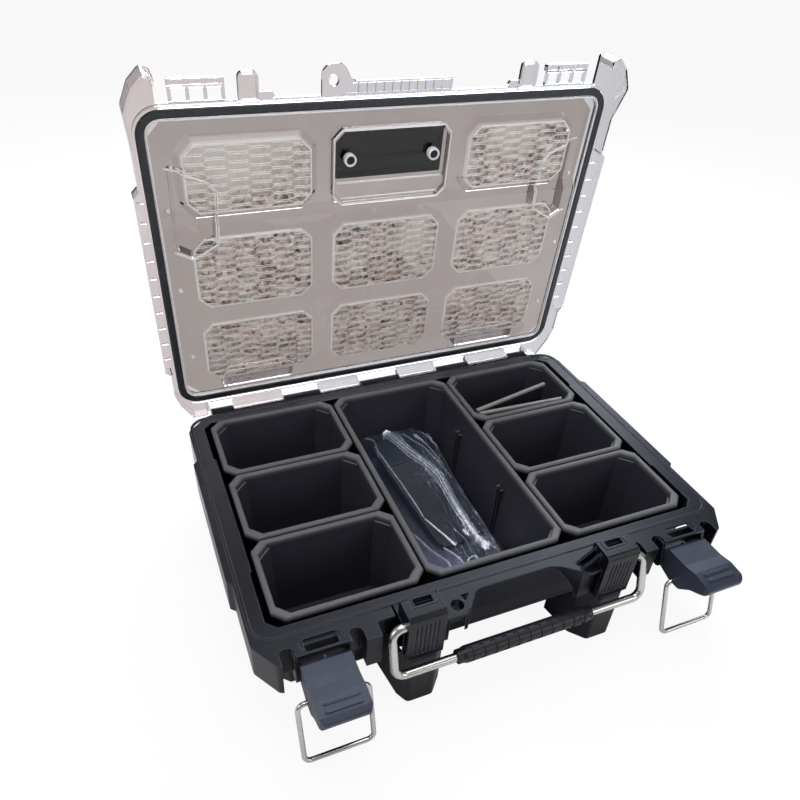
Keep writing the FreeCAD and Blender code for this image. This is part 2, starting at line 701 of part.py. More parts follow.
def base_shell():
    """The tub with its deck, apron, latch housings, feet and hinge barrels."""
    deck = deck_prism(DECK_UNDER, DECK_TOP)
    plain = tub().fuse([deck, apron()] + apron_ribs() + front_lugs())
    foot = stack_foot().cut(foot_hollow())
    plain = plain.fuse(eye_pocket(APRON_WALL)).cut(eye_pocket())
    plain = plain.cut([handle_recess()] + both_sides([bracket_notch()] + latch_cuts()))
    added = both_sides([foot] + latch_housing() + notch_walls())
    eye_wall = post(PADLOCK_X, PADLOCK_Y, DECK_TOP - EYE_DEPTH, DECK_TOP, PADLOCK_RADIUS + 2.2)
    shell = plain.fuse(added + base_knuckles() + [recess_wall(), seal_rib(), eye_wall])
    eye = post(PADLOCK_X, PADLOCK_Y, DECK_TOP - EYE_DEPTH - 1.0, DECK_TOP + 1.0, PADLOCK_RADIUS)
    lug_hole = plate([(-63.0, PADLOCK_Y + 10.0), (-52.5, PADLOCK_Y + 10.0), (-61.0, PADLOCK_Y + 1.5)],
                     DECK_UNDER - 1.0, DECK_TOP + 1.0, 0.8)
    pin_bore = rod(-KNUCKLE_ENDS[4] - 1.0, KNUCKLE_ENDS[4] + 1.0, HINGE_Y, HINGE_Z,
                   HINGE_PIN_RADIUS + PIN_CLEARANCE)
    reach = LEVER_WIDTH / 2 + EAR_GAP + EAR_THICKNESS + 1.0
    latch_bore = rod(LATCH_X - reach, LATCH_X + reach, LEVER_PIVOT_Y, LEVER_PIVOT_Z,
                     LATCH_PIN_RADIUS + PIN_CLEARANCE)
    shell = shell.cut([tub_cavity(), eye, lug_hole, pin_bore] + both_sides([latch_bore]))
    return one_solid(shell.fuse(both_sides([side_lip()])))


# Brackets, handle and latches

def bracket():
    """Right stacking bracket: a hollow block over a ribbed panel, with the handle's bore."""
    points = [(BRACKET_REAR, DECK_TOP), (BRACKET_REAR, BRACKET_TOP), (BRACKET_FRONT + 3.5, BRACKET_TOP),
              (BRACKET_FRONT, BRACKET_TOP - 4.0), (BRACKET_FRONT + 0.6, FOOT_HEIGHT),
              (DECK_FRONT_Y - 4.5, FOOT_HEIGHT), (DECK_FRONT_Y - 4.5, DECK_TOP)]
    solid = rail(points, BRACKET_INNER, BRACKET_OUTER, [0, 4.0, 2.0, 2.0, 0, 0, 0])
    back_panel = block(BRACKET_INNER + BRACKET_WALL, BRACKET_OUTER - BRACKET_WALL,
                       DECK_FRONT_Y - 5.0, DECK_FRONT_Y, FOOT_HEIGHT, DECK_TOP + 2.0)
    left = (BRACKET_INNER + BRACKET_OUTER - BRACKET_SLOT_WIDTH) / 2 - 1.2
    right = left + BRACKET_SLOT_WIDTH
    back = BRACKET_REAR - BRACKET_SLOT_INSET
    front = back - BRACKET_SLOT_DEPTH
    hollow = block(BRACKET_INNER + BRACKET_WALL, BRACKET_OUTER - BRACKET_WALL,
                   front - 1.0, back + 1.0, DECK_TOP - 1.0, BRACKET_TOP - BRACKET_WALL)
    slot = plate(rectangle(left, right, front, back), DECK_TOP, BRACKET_TOP + 1.0, 0.8)
    catch_bar = block(BRACKET_INNER + 1.0, BRACKET_OUTER - 1.0, back - 2.6, back + 1.5,
                      BRACKET_TOP - 7.8, BRACKET_TOP - 4.8)
    border = plate(rectangle(left - 5.0, right + 3.0, front - 4.0, back + 3.0),
                   BRACKET_TOP - 0.8, BRACKET_TOP + 1.0, 2.0)
    raised = plate(rectangle(left - 3.5, right + 1.5, front - 2.5, back + 1.5),
                   BRACKET_TOP - 1.0, BRACKET_TOP + 1.0, 1.5)
    bore = rod(HANDLE_SEAT - 1.0, BRACKET_OUTER + 1.0, HANDLE_AXIS_Y, HANDLE_AXIS_Z,
               HANDLE_ROD_RADIUS + PIN_CLEARANCE)
    solid = solid.fuse(back_panel).cut([hollow, slot, border.cut(raised), bore] + bracket_grooves())
    return solid.fuse(catch_bar)


def bracket_grooves():
    """Upright grooves in the front panel."""
    span = BRACKET_OUTER - BRACKET_INNER - 4 * BRACKET_WALL
    pitch = span / BRACKET_GROOVES
    grooves = []
    for index in range(BRACKET_GROOVES):
        x = BRACKET_INNER + 2 * BRACKET_WALL + (index + 0.5) * pitch
        points = rectangle(x - pitch / 4, x + pitch / 4, BRACKET_FRONT - 1.0, BRACKET_FRONT + 1.6)
        grooves.append(plate(points, FOOT_HEIGHT + 6.0, BRACKET_TOP - 12.0))
    return grooves


def bracket_gussets():
    """Two sloping fins on the side towards the middle."""
    fins = []
    for front in (BRACKET_REAR - 6.0, BRACKET_REAR - 15.0):
        points = [(BRACKET_INNER - 21.0, DECK_TOP), (BRACKET_INNER + 1.0, DECK_TOP),
                  (BRACKET_INNER + 1.0, BRACKET_TOP - 3.0)]
        fins.append(slab(points, front, front + 2.6))
    return fins


def handle_point(x, down):
    """Point of the handle at one distance from its pivot, along its hang."""
    tilt = math.radians(HANDLE_TILT)
    return V(x, HANDLE_AXIS_Y - down * math.sin(tilt), HANDLE_AXIS_Z - down * math.cos(tilt))


def handle_rod():
    """Bent steel rod from one bracket to the other."""
    route = [handle_point(-HANDLE_SEAT, 0), handle_point(-HANDLE_HALF, 0),
             handle_point(-HANDLE_HALF, HANDLE_DROP), handle_point(HANDLE_HALF, HANDLE_DROP),
             handle_point(HANDLE_HALF, 0), handle_point(HANDLE_SEAT, 0)]
    return swept_wire(route, HANDLE_BEND, HANDLE_ROD_RADIUS)


def handle_grip():
    """Moulded grip on the rod, with collars and finger grooves."""
    middle = handle_point(0, HANDLE_DROP)
    bore = HANDLE_ROD_RADIUS + PIN_CLEARANCE
    neck = GRIP_RADIUS - 1.2
    end = GRIP_HALF - GRIP_COLLAR
    profile = [(-GRIP_HALF, bore), (-GRIP_HALF, neck), (-end, neck), (-end + 4.0, GRIP_RADIUS),
               (end - 4.0, GRIP_RADIUS), (end, neck), (GRIP_HALF, neck), (GRIP_HALF, bore)]
    face = closed_face([V(x, middle.y, middle.z + r) for x, r in profile],
                       [0, 1.5, 1.0, 2.0, 2.0, 1.0, 1.5, 0])
    grip = face.revolve(middle, V(1, 0, 0), 360)
    grooves = []
    for index in range(GRIP_GROOVES):
        x = (index - (GRIP_GROOVES - 1) / 2) * GRIP_PITCH
        ring = rod(x - 2.6, x + 2.6, middle.y, middle.z, GRIP_RADIUS + 1.0)
        core = rod(x - 3.0, x + 3.0, middle.y, middle.z, GRIP_RADIUS - 1.1)
        front = block(x - 4.0, x + 4.0, middle.y - 20.0, middle.y + 1.0, middle.z - 3.0, middle.z + 20.0)
        grooves.append(ring.cut(core).common(front))
    return one_solid(grip.cut(grooves))


def lever_point(back, up):
    """Point of the lever's side view, from its pivot."""
    return (LEVER_PIVOT_Y + back, LEVER_PIVOT_Z + up)


def lever_outer():
    """Side view of the lever: pad, curved underside and pivot."""
    points = [lever_point(-8.8, 21.7), lever_point(-34.0, 22.0), lever_point(-48.0, 25.0),
              lever_point(-64.0, 23.6), lever_point(-70.5, 20.0), lever_point(-69.0, 12.0),
              lever_point(-50.0, 1.0), lever_point(-37.0, -12.0), lever_point(-22.0, -12.5),
              lever_point(-3.0, -6.5), lever_point(6.5, -6.5), lever_point(6.0, 6.0)]
    radii = [2.0, 8.0, 8.0, 6.0, 3.0, 6.0, 14.0, 6.5, 8.0, 0, 6.0, 5.0]
    return points, radii


def latch_lever():
    """Right lever: a shell with two raised finger ribs, a pivot barrel and bail holes."""
    half = LEVER_WIDTH / 2
    points, radii = lever_outer()
    solid = rail(points, LATCH_X - half, LATCH_X + half, radii)
    plan = rectangle(LATCH_X - half, LATCH_X + half, LEVER_PIVOT_Y - 72.0, LEVER_PIVOT_Y + 8.0)
    solid = solid.common(plate(plan, 0, DECK_TOP + 5.0, [9.0, 9.0, 0, 0]))
    inside = [lever_point(-11.0, 18.4), lever_point(-34.0, 18.6), lever_point(-48.0, 21.4),
              lever_point(-63.0, 19.6), lever_point(-65.5, 14.0), lever_point(-50.0, 6.5),
              lever_point(-42.0, -20.0), lever_point(8.0, -20.0), lever_point(8.0, 9.0)]
    hollow = rail(inside, LATCH_X - half + LEVER_WALL, LATCH_X + half - LEVER_WALL)
    spine = rail([lever_point(-3.0, 20.0), lever_point(-34.0, 20.0), lever_point(-30.0, 6.0),
                  lever_point(0.0, 2.0)], LATCH_X - LEVER_WALL / 2, LATCH_X + LEVER_WALL / 2)
    barrel = rod(LATCH_X - half, LATCH_X + half, LEVER_PIVOT_Y, LEVER_PIVOT_Z, 5.4)
    ribs = []
    for offset in (-52.5, -60.0):
        stadium = rectangle(LATCH_X - 17.0, LATCH_X + 17.0, LEVER_PIVOT_Y + offset - 2.0,
                            LEVER_PIVOT_Y + offset + 2.0)
        ribs.append(plate(stadium, LEVER_PIVOT_Z + 20.0, LEVER_PIVOT_Z + 25.6, 1.9))
    bores = [rod(LATCH_X - half - 1.0, LATCH_X + half + 1.0, LEVER_PIVOT_Y, LEVER_PIVOT_Z,
                 LATCH_PIN_RADIUS + PIN_CLEARANCE),
             rod(LATCH_X - half - 1.0, LATCH_X + half + 1.0, BAIL_AXIS_Y, BAIL_AXIS_Z,
                 BAIL_WIRE_RADIUS + PIN_CLEARANCE)]
    return one_solid(solid.cut(hollow).fuse([spine, barrel] + ribs).cut(bores))


def latch_pin():
    """Right lever's pivot pin, through both ears."""
    reach = LEVER_WIDTH / 2 + EAR_GAP + EAR_THICKNESS
    return rod(LATCH_X - reach, LATCH_X + reach, LEVER_PIVOT_Y, LEVER_PIVOT_Z, LATCH_PIN_RADIUS)


def latch_bail():
    """Right wire bail, hanging from the lever."""
    tilt = math.radians(BAIL_TILT)

    def point(x, down):
        return V(LATCH_X + x, BAIL_AXIS_Y - down * math.sin(tilt), BAIL_AXIS_Z - down * math.cos(tilt))

    stub = LEVER_WIDTH / 2 - LEVER_WALL - 2.0
    route = [point(-stub, 0), point(-BAIL_HALF_WIDTH, 0), point(-BAIL_HALF_WIDTH, BAIL_LENGTH),
             point(BAIL_HALF_WIDTH, BAIL_LENGTH), point(BAIL_HALF_WIDTH, 0), point(stub, 0)]
    return swept_wire(route, BAIL_BEND - 1.0, BAIL_WIRE_RADIUS)


def hinge_pin():
    """Steel pin through all hinge barrels."""
    half = KNUCKLE_ENDS[4] - 1.5
    return rod(-half, half, HINGE_Y, HINGE_Z, HINGE_PIN_RADIUS)


# Lid, in its closed place

def lid_half():
    """Right half of the lid's outer edge, front to back, with the radius of each corner."""
    rear_x = KNUCKLE_ENDS[4] + 2.2
    return [
        (GUARD_INNER_X, LID_FRONT, 0), (GUARD_INNER_X, DECK_FRONT_Y - 8.6, 2.5),
        (GUARD_INNER_X + 9.8, DECK_FRONT_Y - 12.1, 5.0), (DECK_X - 0.5, DECK_FRONT_Y - 0.1, 7.0),
        (SKIRT_X + 2.0, LID_FRONT - 0.6, 12.0), (SKIRT_X, LID_FRONT + 37.4, 0),
        (SKIRT_X, SKIRT_WIDE_FRONT - 5.8, 0),
        (SKIRT_WIDE_X, SKIRT_WIDE_FRONT, 0), (SKIRT_WIDE_X, SKIRT_WIDE_REAR, 0),
        (SKIRT_X, SKIRT_WIDE_REAR + 5.8, 0), (SKIRT_X, HINGE_Y - 40.6, 12.0),
        (DECK_X + 1.5, HINGE_Y - 22.6, 12.0), (KNUCKLE_END + 21.2, HINGE_Y + 3.0, 4.0),
        (rear_x, HINGE_Y + 3.0, 0), (rear_x, HINGE_Y - 6.6, 0),
    ]


def lid_prism(low, high, shrink=0.0):
    """Lid outline as a solid, shrunk inwards by one distance."""
    half = lid_half()
    points = [V(x, y, low) for x, y in full_outline([(x, y) for x, y, _ in half])]
    radii = [radius for _, _, radius in half]
    face = closed_face(points, radii + radii[::-1])
    if shrink:
        face = Part.Face(face.OuterWire.makeOffset2D(-shrink))
    return face.extrude(V(0, 0, high - low))


def seal_plate(grow, low, high):
    """Plate with the outline of the seal's centre line, grown by one distance."""
    points = rectangle(-SEAL_X - grow, SEAL_X + grow, SEAL_FRONT - grow, SEAL_REAR + grow)
    return plate(points, low, high, SEAL_CORNER + grow)


def lid_section(below, above):
    """Side view of the lid's inner skin, moved down or up: flat at the back, raised in front."""
    slope_end = POCKET_REAR + POCKET_SLOPE
    return [(HINGE_Y + 20.0, WEB_Z + above), (slope_end, WEB_Z + above),
            (POCKET_REAR, POCKET_Z + above), (-260.0, POCKET_Z + above),
            (-260.0, below), (HINGE_Y + 20.0, below)]


def lid_web():
    """Main wall of the lid inside its gasket channel, raised over the front row."""
    inner_edge = -(GASKET_GROOVE / 2 + CHANNEL_WALL)
    floor = LID_PLANE - 20.0
    skin = rail(lid_section(floor, LID_WALL), -SEAL_X, SEAL_X)
    skin = skin.cut(rail(lid_section(floor - 1.0, 0.0), -SEAL_X - 1.0, SEAL_X + 1.0))
    return skin.common(seal_plate(inner_edge + 1.0, LID_PLANE, GUIDE_TOP))


def lid_channel():
    """Channel that holds the gasket, with its inner wall carried up to the web."""
    half = GASKET_GROOVE / 2
    roof = WEB_Z + LID_WALL
    outer = seal_plate(half + CHANNEL_WALL, LID_PLANE, roof + LID_WALL)
    inner = seal_plate(-half - CHANNEL_WALL, LID_PLANE - 1.0, roof + LID_WALL + 1.0)
    channel = outer.cut(inner)
    wall = seal_plate(-half, LID_PLANE, GUIDE_TOP).cut(
        seal_plate(-half - CHANNEL_WALL, LID_PLANE - 1.0, GUIDE_TOP + 1.0))
    wall = wall.common(rail(lid_section(LID_PLANE - 20.0, LID_WALL), -SEAL_X, SEAL_X))
    return channel, wall


def gasket_groove():
    """Room for the gasket, open downwards."""
    half = GASKET_GROOVE / 2
    roof = WEB_Z + LID_WALL
    return seal_plate(half, LID_PLANE - 1.0, roof).cut(seal_plate(-half, LID_PLANE - 2.0, roof + 1.0))


def lid_skirt():
    """Outer wall of the lid, deeper at the front corners, clear of the deck."""
    low = LID_PLANE - GUARD_DROP
    roof = WEB_Z + LID_WALL
    ring = lid_prism(low, roof).cut(lid_prism(low - 1.0, roof + 1.0, SKIRT_WALL))
    skirt_foot = LID_PLANE - SKIRT_DROP
    far = DECK_FRONT_Y - 20.0
    side_view = [(far, low), (LID_FRONT + 1.4, low), (LID_FRONT + 37.4, skirt_foot),
                 (HINGE_Y + 10.0, skirt_foot), (HINGE_Y + 10.0, roof), (far, roof)]
    ring = ring.common(rail(side_view, -SKIRT_WIDE_X - 5.0, SKIRT_WIDE_X + 5.0))
    rear_x = KNUCKLE_ENDS[4] + 1.0
    rear_gap = block(-rear_x, rear_x, DECK_REAR_Y, HINGE_Y + 20.0, low - 1.0, WEB_Z)
    deck_room = deck_prism(low - 1.0, LID_PLANE, SKIRT_CLEARANCE)
    front_room = block(-GUARD_INNER_X, GUARD_INNER_X, DECK_FRONT_Y - 20.0, LID_FRONT + SKIRT_WALL,
                       low - 1.0, LID_PLANE)
    return ring.cut([rear_gap, deck_room, front_room])


def lid_roof():
    """Flat border between the gasket channel and the skirt."""
    return lid_prism(WEB_Z, WEB_Z + LID_WALL).cut(
        seal_plate(0.0, WEB_Z - 1.0, WEB_Z + LID_WALL + 1.0))


def pad(left, right, front, back, base):
    """Window raised towards the inside, with 45 degree flanks, hollow from outside."""
    rise = base - PAD_Z
    wide = chamfered(left - rise, right + rise, front - rise, back + rise, PAD_CORNER + 0.6 * rise)
    narrow = chamfered(left, right, front, back, PAD_CORNER)
    solid = frustum(narrow, PAD_Z, wide, base)
    solid = solid.fuse(plate(wide, base, base + LID_WALL))
    cut = LID_WALL
    inner_rise = base - PAD_Z
    low = chamfered(left + cut, right - cut, front + cut, back - cut, PAD_CORNER)
    spread = cut - inner_rise
    high = chamfered(left + spread, right - spread, front + spread, back - spread,
                     PAD_CORNER + 0.6 * inner_rise)
    hollow = frustum(low, PAD_Z + LID_WALL, high, base + LID_WALL + 0.01)
    return solid, hollow


def lid_pads():
    """The eight windows: three rows of three, less the label's place."""
    solids = []
    hollows = []
    for row, (front, back) in enumerate(PAD_ROWS):
        base = POCKET_Z if row == 0 else WEB_Z
        solid, hollow = pad(PAD_COLUMN - PAD_HALF_WIDTH, PAD_COLUMN + PAD_HALF_WIDTH, front, back, base)
        solids += both_sides([solid])
        hollows += both_sides([hollow])
        if row > 0:
            solid, hollow = pad(-PAD_HALF_WIDTH, PAD_HALF_WIDTH, front, back, base)
            solids.append(solid)
            hollows.append(hollow)
    return solids, hollows


def label_frame():
    """Raised frame round the label's place, and the two bosses that take its studs."""
    half = LABEL_HALF + 6.0
    front = LABEL_FRONT - 4.1
    rear = POCKET_REAR + 2.0
    wall = 2.4
    outer = chamfered(-half, half, front, rear, PAD_CORNER)
    inner = chamfered(wall - half, half - wall, front + wall, rear - wall, PAD_CORNER - 1.4)
    frame = plate(outer, PAD_Z, POCKET_Z + 1.0).cut(plate(inner, PAD_Z - 1.0, POCKET_Z + 2.0))
    shelf = plate(chamfered(2.0 - half, half - 2.0, LABEL_REAR + 2.9, POCKET_REAR, 2.0),
                  POCKET_Z - 3.0, POCKET_Z + 1.0)
    boss = post(LABEL_BOSS_X, LABEL_BOSS_Y, LID_PLANE, POCKET_Z + 1.0, LABEL_BOSS_RADIUS)
    bore = post(LABEL_BOSS_X, LABEL_BOSS_Y, LID_PLANE - 1.0, POCKET_Z + LID_WALL + 1.0,
                LABEL_STUD_RADIUS + PIN_CLEARANCE)
    return [frame, shelf] + both_sides([boss]), both_sides([bore])


def label_plate():
    """Black plate on the outside of the lid, with two studs in the lid's bosses."""
    seat = POCKET_Z + LID_WALL
    points = rectangle(-LABEL_HALF, LABEL_HALF, LABEL_FRONT, LABEL_REAR)
    board = plate(points, seat, seat + LABEL_THICKNESS, [9.0, 2.0, 2.0, 2.0])
    studs = both_sides([post(LABEL_BOSS_X, LABEL_BOSS_Y, LID_PLANE + 1.0, seat + 1.0,
                             LABEL_STUD_RADIUS)])
    return one_solid(board.fuse(studs))


def lid_strike():
    """Right strike: a ladder with the wire's seat and a raised bar in front of it."""
    seat = bail_seat_height() - STRIKE_SEAT_CLEARANCE
    left = LATCH_X - STRIKE_HALF
    right = LATCH_X + STRIKE_HALF
    bar_back = DECK_FRONT_Y + 8.3
    ladder = block(left, right, bar_back - 1.4, LID_FRONT, WEB_Z, seat)
    cells = []
    width = (right - left - 4 * 3.0) / 3
    for index in range(3):
        start = left + 3.0 + index * (width + 3.0)
        cells.append(block(start, start + width, bar_back + 0.7, LID_FRONT - 1.4,
                           WEB_Z - 1.0, seat + 1.0))
    bar_front = bar_back - 7.9
    bar = rail([(bar_front, WEB_Z), (bar_front, seat + 3.6), (bar_back - 1.1, seat + 3.6),
                (bar_back, seat), (bar_back, WEB_Z)], left, right, [1.0, 2.0, 1.0, 0, 0])
    bar_room = [block(LATCH_X + x - 5.6, LATCH_X + x + 5.6, bar_front + 2.0, bar_back - 2.1,
                      WEB_Z - 1.0, seat) for x in (-17.0, 0.0, 17.0)]
    return ladder.cut(cells).fuse(bar).cut(bar_room)


def bail_seat_height():
    """Lowest point of the bail's wire when the latch is closed."""
    angle = math.radians(90.0)
    axis_z = (LEVER_PIVOT_Z + BAIL_PIVOT_BACK * math.sin(angle) + BAIL_PIVOT_DOWN * math.cos(angle))
    return axis_z + BAIL_LENGTH - BAIL_WIRE_RADIUS


def lid_post():
    """Right guide post and the low step beside it."""
    left = DECK_X - POST_INSET
    right = left + POST_WIDTH
    low = LID_PLANE
    high = WEB_Z + 5.0
    front = DECK_FRONT_Y - 4.1
    outer = plate(rectangle(left, right, front, LID_FRONT + 2.0), low, high, [6.0, 6.0, 0, 0])
    inner = plate(rectangle(left + 2.2, right - 2.2, front + 2.2, LID_FRONT), low - 1.0, high - 2.2,
                  [4.0, 4.0, 0, 0])
    step = plate([(left + 1.0, LID_FRONT + 1.0), (left - 12.0, LID_FRONT + 1.0),
                  (left - 15.5, LID_FRONT - 3.0), (left - 13.0, LID_FRONT - 6.5),
                  (left + 1.0, LID_FRONT - 6.5)], WEB_Z - 1.9, WEB_Z + LID_WALL)
    return [outer.cut(inner), step]


def lid_lug():
    """Padlock lug and finger flange at the middle of the front edge."""
    low = LID_PLANE
    high = WEB_Z + LID_WALL
    reach = DECK_FRONT_Y - 8.6
    flange = DECK_FRONT_Y + 8.0
    left = PADLOCK_X - 12.3
    lug = [(left, LID_FRONT + 1.0), (left, reach), (left + 24.0, reach), (left + 32.0, flange),
           (62.5, flange), (62.5, LID_FRONT + 1.0)]
    whole = plate(lug, low, high, [0, 11.9, 11.0, 8.0, 3.0, 0])
    room = plate([(-57.0, LID_FRONT - 1.6), (-50.0, flange + 2.0), (60.5, flange + 2.0),
                  (60.5, LID_FRONT - 1.6)], low - 1.0, WEB_Z)
    ribs = []
    for index in range(11):
        x = -44.0 + index * 9.4
        ribs.append(block(x, x + 1.4, flange + 1.0, LID_FRONT, low, WEB_Z + 0.5))
    hole = post(PADLOCK_X, PADLOCK_Y, low - 2.0, high + 2.0, LID_PADLOCK_RADIUS)
    return whole.cut(room).fuse(ribs), hole


def lid_knuckle(left, right):
    """Hinge barrel on the lid's side, with its arm from the roof."""
    barrel = rod(left, right, HINGE_Y, HINGE_Z, KNUCKLE_RADIUS)
    roof = WEB_Z + LID_WALL
    back = HINGE_Y + KNUCKLE_RADIUS
    points = [(HINGE_Y - 11.0, WEB_Z - 1.5), (HINGE_Y - 11.0, roof), (HINGE_Y - 3.0, roof),
              (back, HINGE_Z + 5.0), (back, HINGE_Z), (HINGE_Y - KNUCKLE_RADIUS, HINGE_Z),
              (HINGE_Y - KNUCKLE_RADIUS, HINGE_Z + 6.0)]
    return barrel.fuse(rail(points, left, right, [0, 0, 3.0, 3.0, 0, 0, 2.0]))


def lid_side_ribs():
    """Small ribs between the channel and the right skirt."""
    inner = SEAL_X + GASKET_GROOVE / 2 + CHANNEL_WALL - 0.5
    outer = SKIRT_WIDE_X - SKIRT_WALL + 0.5
    span = SKIRT_WIDE_REAR - SKIRT_WIDE_FRONT
    pitch = span / SIDE_RIBS
    ribs = []
    for index in range(SIDE_RIBS):
        y = SKIRT_WIDE_FRONT + (index + 0.5) * pitch
        ribs.append(block(inner, outer, y - 0.8, y + 0.8, LID_PLANE, WEB_Z + 0.5))
    return ribs


def stack_guides():
    """Raised outlines on the outside of the lid that keep a case stacked on top in place."""
    front_guide = [(243.0, -122.0), (228.5, -118.5), (204.5, -107.5), (197.0, -98.0),
                   (200.5, -38.5), (229.0, -22.0), (245.0, -32.0)]
    rear_guide = [(213.0, 164.0), (213.0, 147.0), (206.0, 132.0), (125.0, 132.0), (119.0, 147.0),
                  (119.0, 164.0)]
    guides = []
    for points, radius in ((front_guide, 3.0), (rear_guide, 3.0)):
        corners = [V(x, y, WEB_Z + 1.0) for x, y in points]
        face = closed_face(corners, radius)
        inner = Part.Face(face.OuterWire.makeOffset2D(-GUIDE_WALL))
        ring = face.cut(inner)
        guides.append(ring.extrude(V(0, 0, GUIDE_TOP - WEB_Z - 1.0)))
    under = rail(lid_section(LID_PLANE - 20.0, 1.0), -SEAL_X - 1.0, SEAL_X + 1.0)
    return both_sides([guide.cut(under) for guide in guides])


def lid_shell():
    """Clear lid, closed, with everything moulded in one piece."""
    channel, wall = lid_channel()
    pads, hollows = lid_pads()
    frame_parts, bores = label_frame()
    lug, padlock_hole = lid_lug()
    ends = KNUCKLE_ENDS
    gap = KNUCKLE_GAP
    knuckles = [lid_knuckle(ends[0] + gap, ends[1] - gap), lid_knuckle(ends[2] + gap, ends[3] - gap)]
    pieces = [channel, wall, lid_roof(), lid_skirt(), lug]
    pieces += both_sides([lid_strike()] + lid_post() + lid_side_ribs() + knuckles)
    body = lid_web().fuse(pieces + pads + stack_guides() + frame_parts)
    bore_length = ends[3] + 1.0
    pin_bore = rod(-bore_length, bore_length, HINGE_Y, HINGE_Z, HINGE_PIN_RADIUS + PIN_CLEARANCE)
    return one_solid(body.cut(hollows + bores + [gasket_groove(), padlock_hole, pin_bore]))


def lid_gasket():
    """Rubber ring in the lid's channel."""
    half = GASKET_WIDTH / 2
    low = DECK_TOP + SEAL_RIB_HEIGHT + SEAL_CLEARANCE
    roof = WEB_Z + LID_WALL
    ring = seal_plate(half, low, roof).cut(seal_plate(-half, low - 1.0, roof + 1.0))
    soft_edges = [edge for edge in ring.Edges
                  if abs(edge.BoundBox.ZMax - low) < 1e-3]
    return ring.makeFillet(1.8, soft_edges)


def opened(shape):
    """A lid piece turned from closed to its rest place."""
    turned = shape.copy()
    turned.rotate(V(0, HINGE_Y, HINGE_Z), V(1, 0, 0), -LID_OPEN_ANGLE)
    return turned


# Loose contents

def divider(place):
    """Loose tapered divider with a bead along its top, standing in the right rear bin."""
    start_x, start_y, angle = place
    foot = TUB_FLOOR + BIN_FLOOR
    neck = DIVIDER_TOP - DIVIDER_BEAD + 1.0
    half_web = DIVIDER_WEB / 2
    half_bead = DIVIDER_BEAD / 2
    taper = DIVIDER_TAPER
    web = slab([(taper, foot), (DIVIDER_LENGTH - taper, foot), (DIVIDER_LENGTH, neck), (0, neck)],
               -half_web, half_web, [3.0, 3.0, 0, 0])
    bead = rail([(-half_web, neck - 1.0), (half_web, neck - 1.0), (half_bead, neck),
                 (half_bead, DIVIDER_TOP), (-half_bead, DIVIDER_TOP), (-half_bead, neck)],
                0, DIVIDER_LENGTH, [0, 0, 0, 1.6, 1.6, 0])
    board = web.fuse(bead)
    board.rotate(V(0, 0, 0), V(0, 0, 1), angle)
    board.translate(V(BLOCK_X - BIN_WIDTH + start_x, BLOCK_Y - BIN_DEPTH + start_y, 0))
    return one_solid(board)


def spare_panel(grow=0.0):
    """Spare moulded panel in the bag, with stiffening recesses, leaning on the rear wall."""
    half_x = PANEL_WIDTH / 2 + grow
    half_y = PANEL_LENGTH / 2 + grow
    half_z = PANEL_THICKNESS / 2 + grow
    solid = plate(chamfered(-half_x, half_x, -half_y, half_y, 9.0), -half_z, half_z)
    if not grow:
        cuts = [plate(chamfered(-half_x + 6.0, half_x - 6.0, y - 25.0, y + 25.0, 6.0),
                      -half_z - 1.0, half_z - 2.4) for y in (-58.0, 0.0, 58.0)]
        cuts.append(block(-half_x - 1.0, half_x + 1.0, 44.0, 47.0, half_z - 1.2, half_z + 1.0))
        solid = solid.cut(cuts)
    solid.rotate(V(0, 0, 0), V(1, 0, 0), PANEL_TILT)
    solid.rotate(V(0, 0, 0), V(0, 0, 1), PANEL_TURN)
    solid.translate(V(*PANEL_CENTRE))
    return solid


def panel_axis(y):
    """Place of the panel's long axis to the right, and of its top face, at one place to the back."""
    turn = math.radians(PANEL_TURN)
    tilt = math.radians(PANEL_TILT)
    run = y - PANEL_CENTRE[1]
    top = PANEL_CENTRE[2] + PANEL_THICKNESS / 2 / math.cos(tilt)
    return PANEL_CENTRE[0] - run * math.tan(turn), top + run / math.cos(turn) * math.tan(tilt)


def bag_section(y, half, top, left, right, edge):
    """Outline across the bag: high between left and right, and lower at its sides."""
    floor = TUB_FLOOR + BIN_FLOOR + 0.3
    side = floor + (top - floor) * edge
    corners = [V(-half, y, floor), V(half, y, floor), V(half, y, side), V(right, y, top),
               V(left, y, top), V(-half, y, side)]
    return Part.makePolygon(corners + corners[:1])


def spares_bag():
    """Closed bag that lies over the spare panel and falls off to its sides and its front."""
    half = CENTRE_BIN_WIDTH / 2 - BAG_SIDE_GAP
    front = -BLOCK_Y + BAG_END_GAP
    rear = BLOCK_Y - BAG_END_GAP
    low = TUB_FLOOR + BIN_FLOOR + BAG_FRONT_HEIGHT
    reach = PANEL_WIDTH / 2 / math.cos(math.radians(PANEL_TURN)) + BAG_PANEL_SIDE
    wires = [bag_section(front, half - 20.0, low, -30.0, 34.0, 0.5),
             bag_section(front + 20.0, half - 3.0, low + 2.0, -40.0, 56.0, 0.5)]
    for y, narrower, edge in ((PANEL_CENTRE[1] - PANEL_LENGTH / 2 - 6.0, 0.0, 0.5),
                              (rear - 14.0, 0.0, 0.6), (rear, 8.0, 0.65)):
        axis, top = panel_axis(y)
        right = min(axis + reach, half - narrower - 1.0)
        wires.append(bag_section(y, half - narrower, top + BAG_OVER_PANEL, axis - reach, right, edge))
    return Part.makeLoft(wires, True, True).cut(spare_panel(PANEL_CLEARANCE))


def write(name, shape):
    """Write one piece as its own STEP file."""
    shape.exportStep("parts/" + name + ".step")


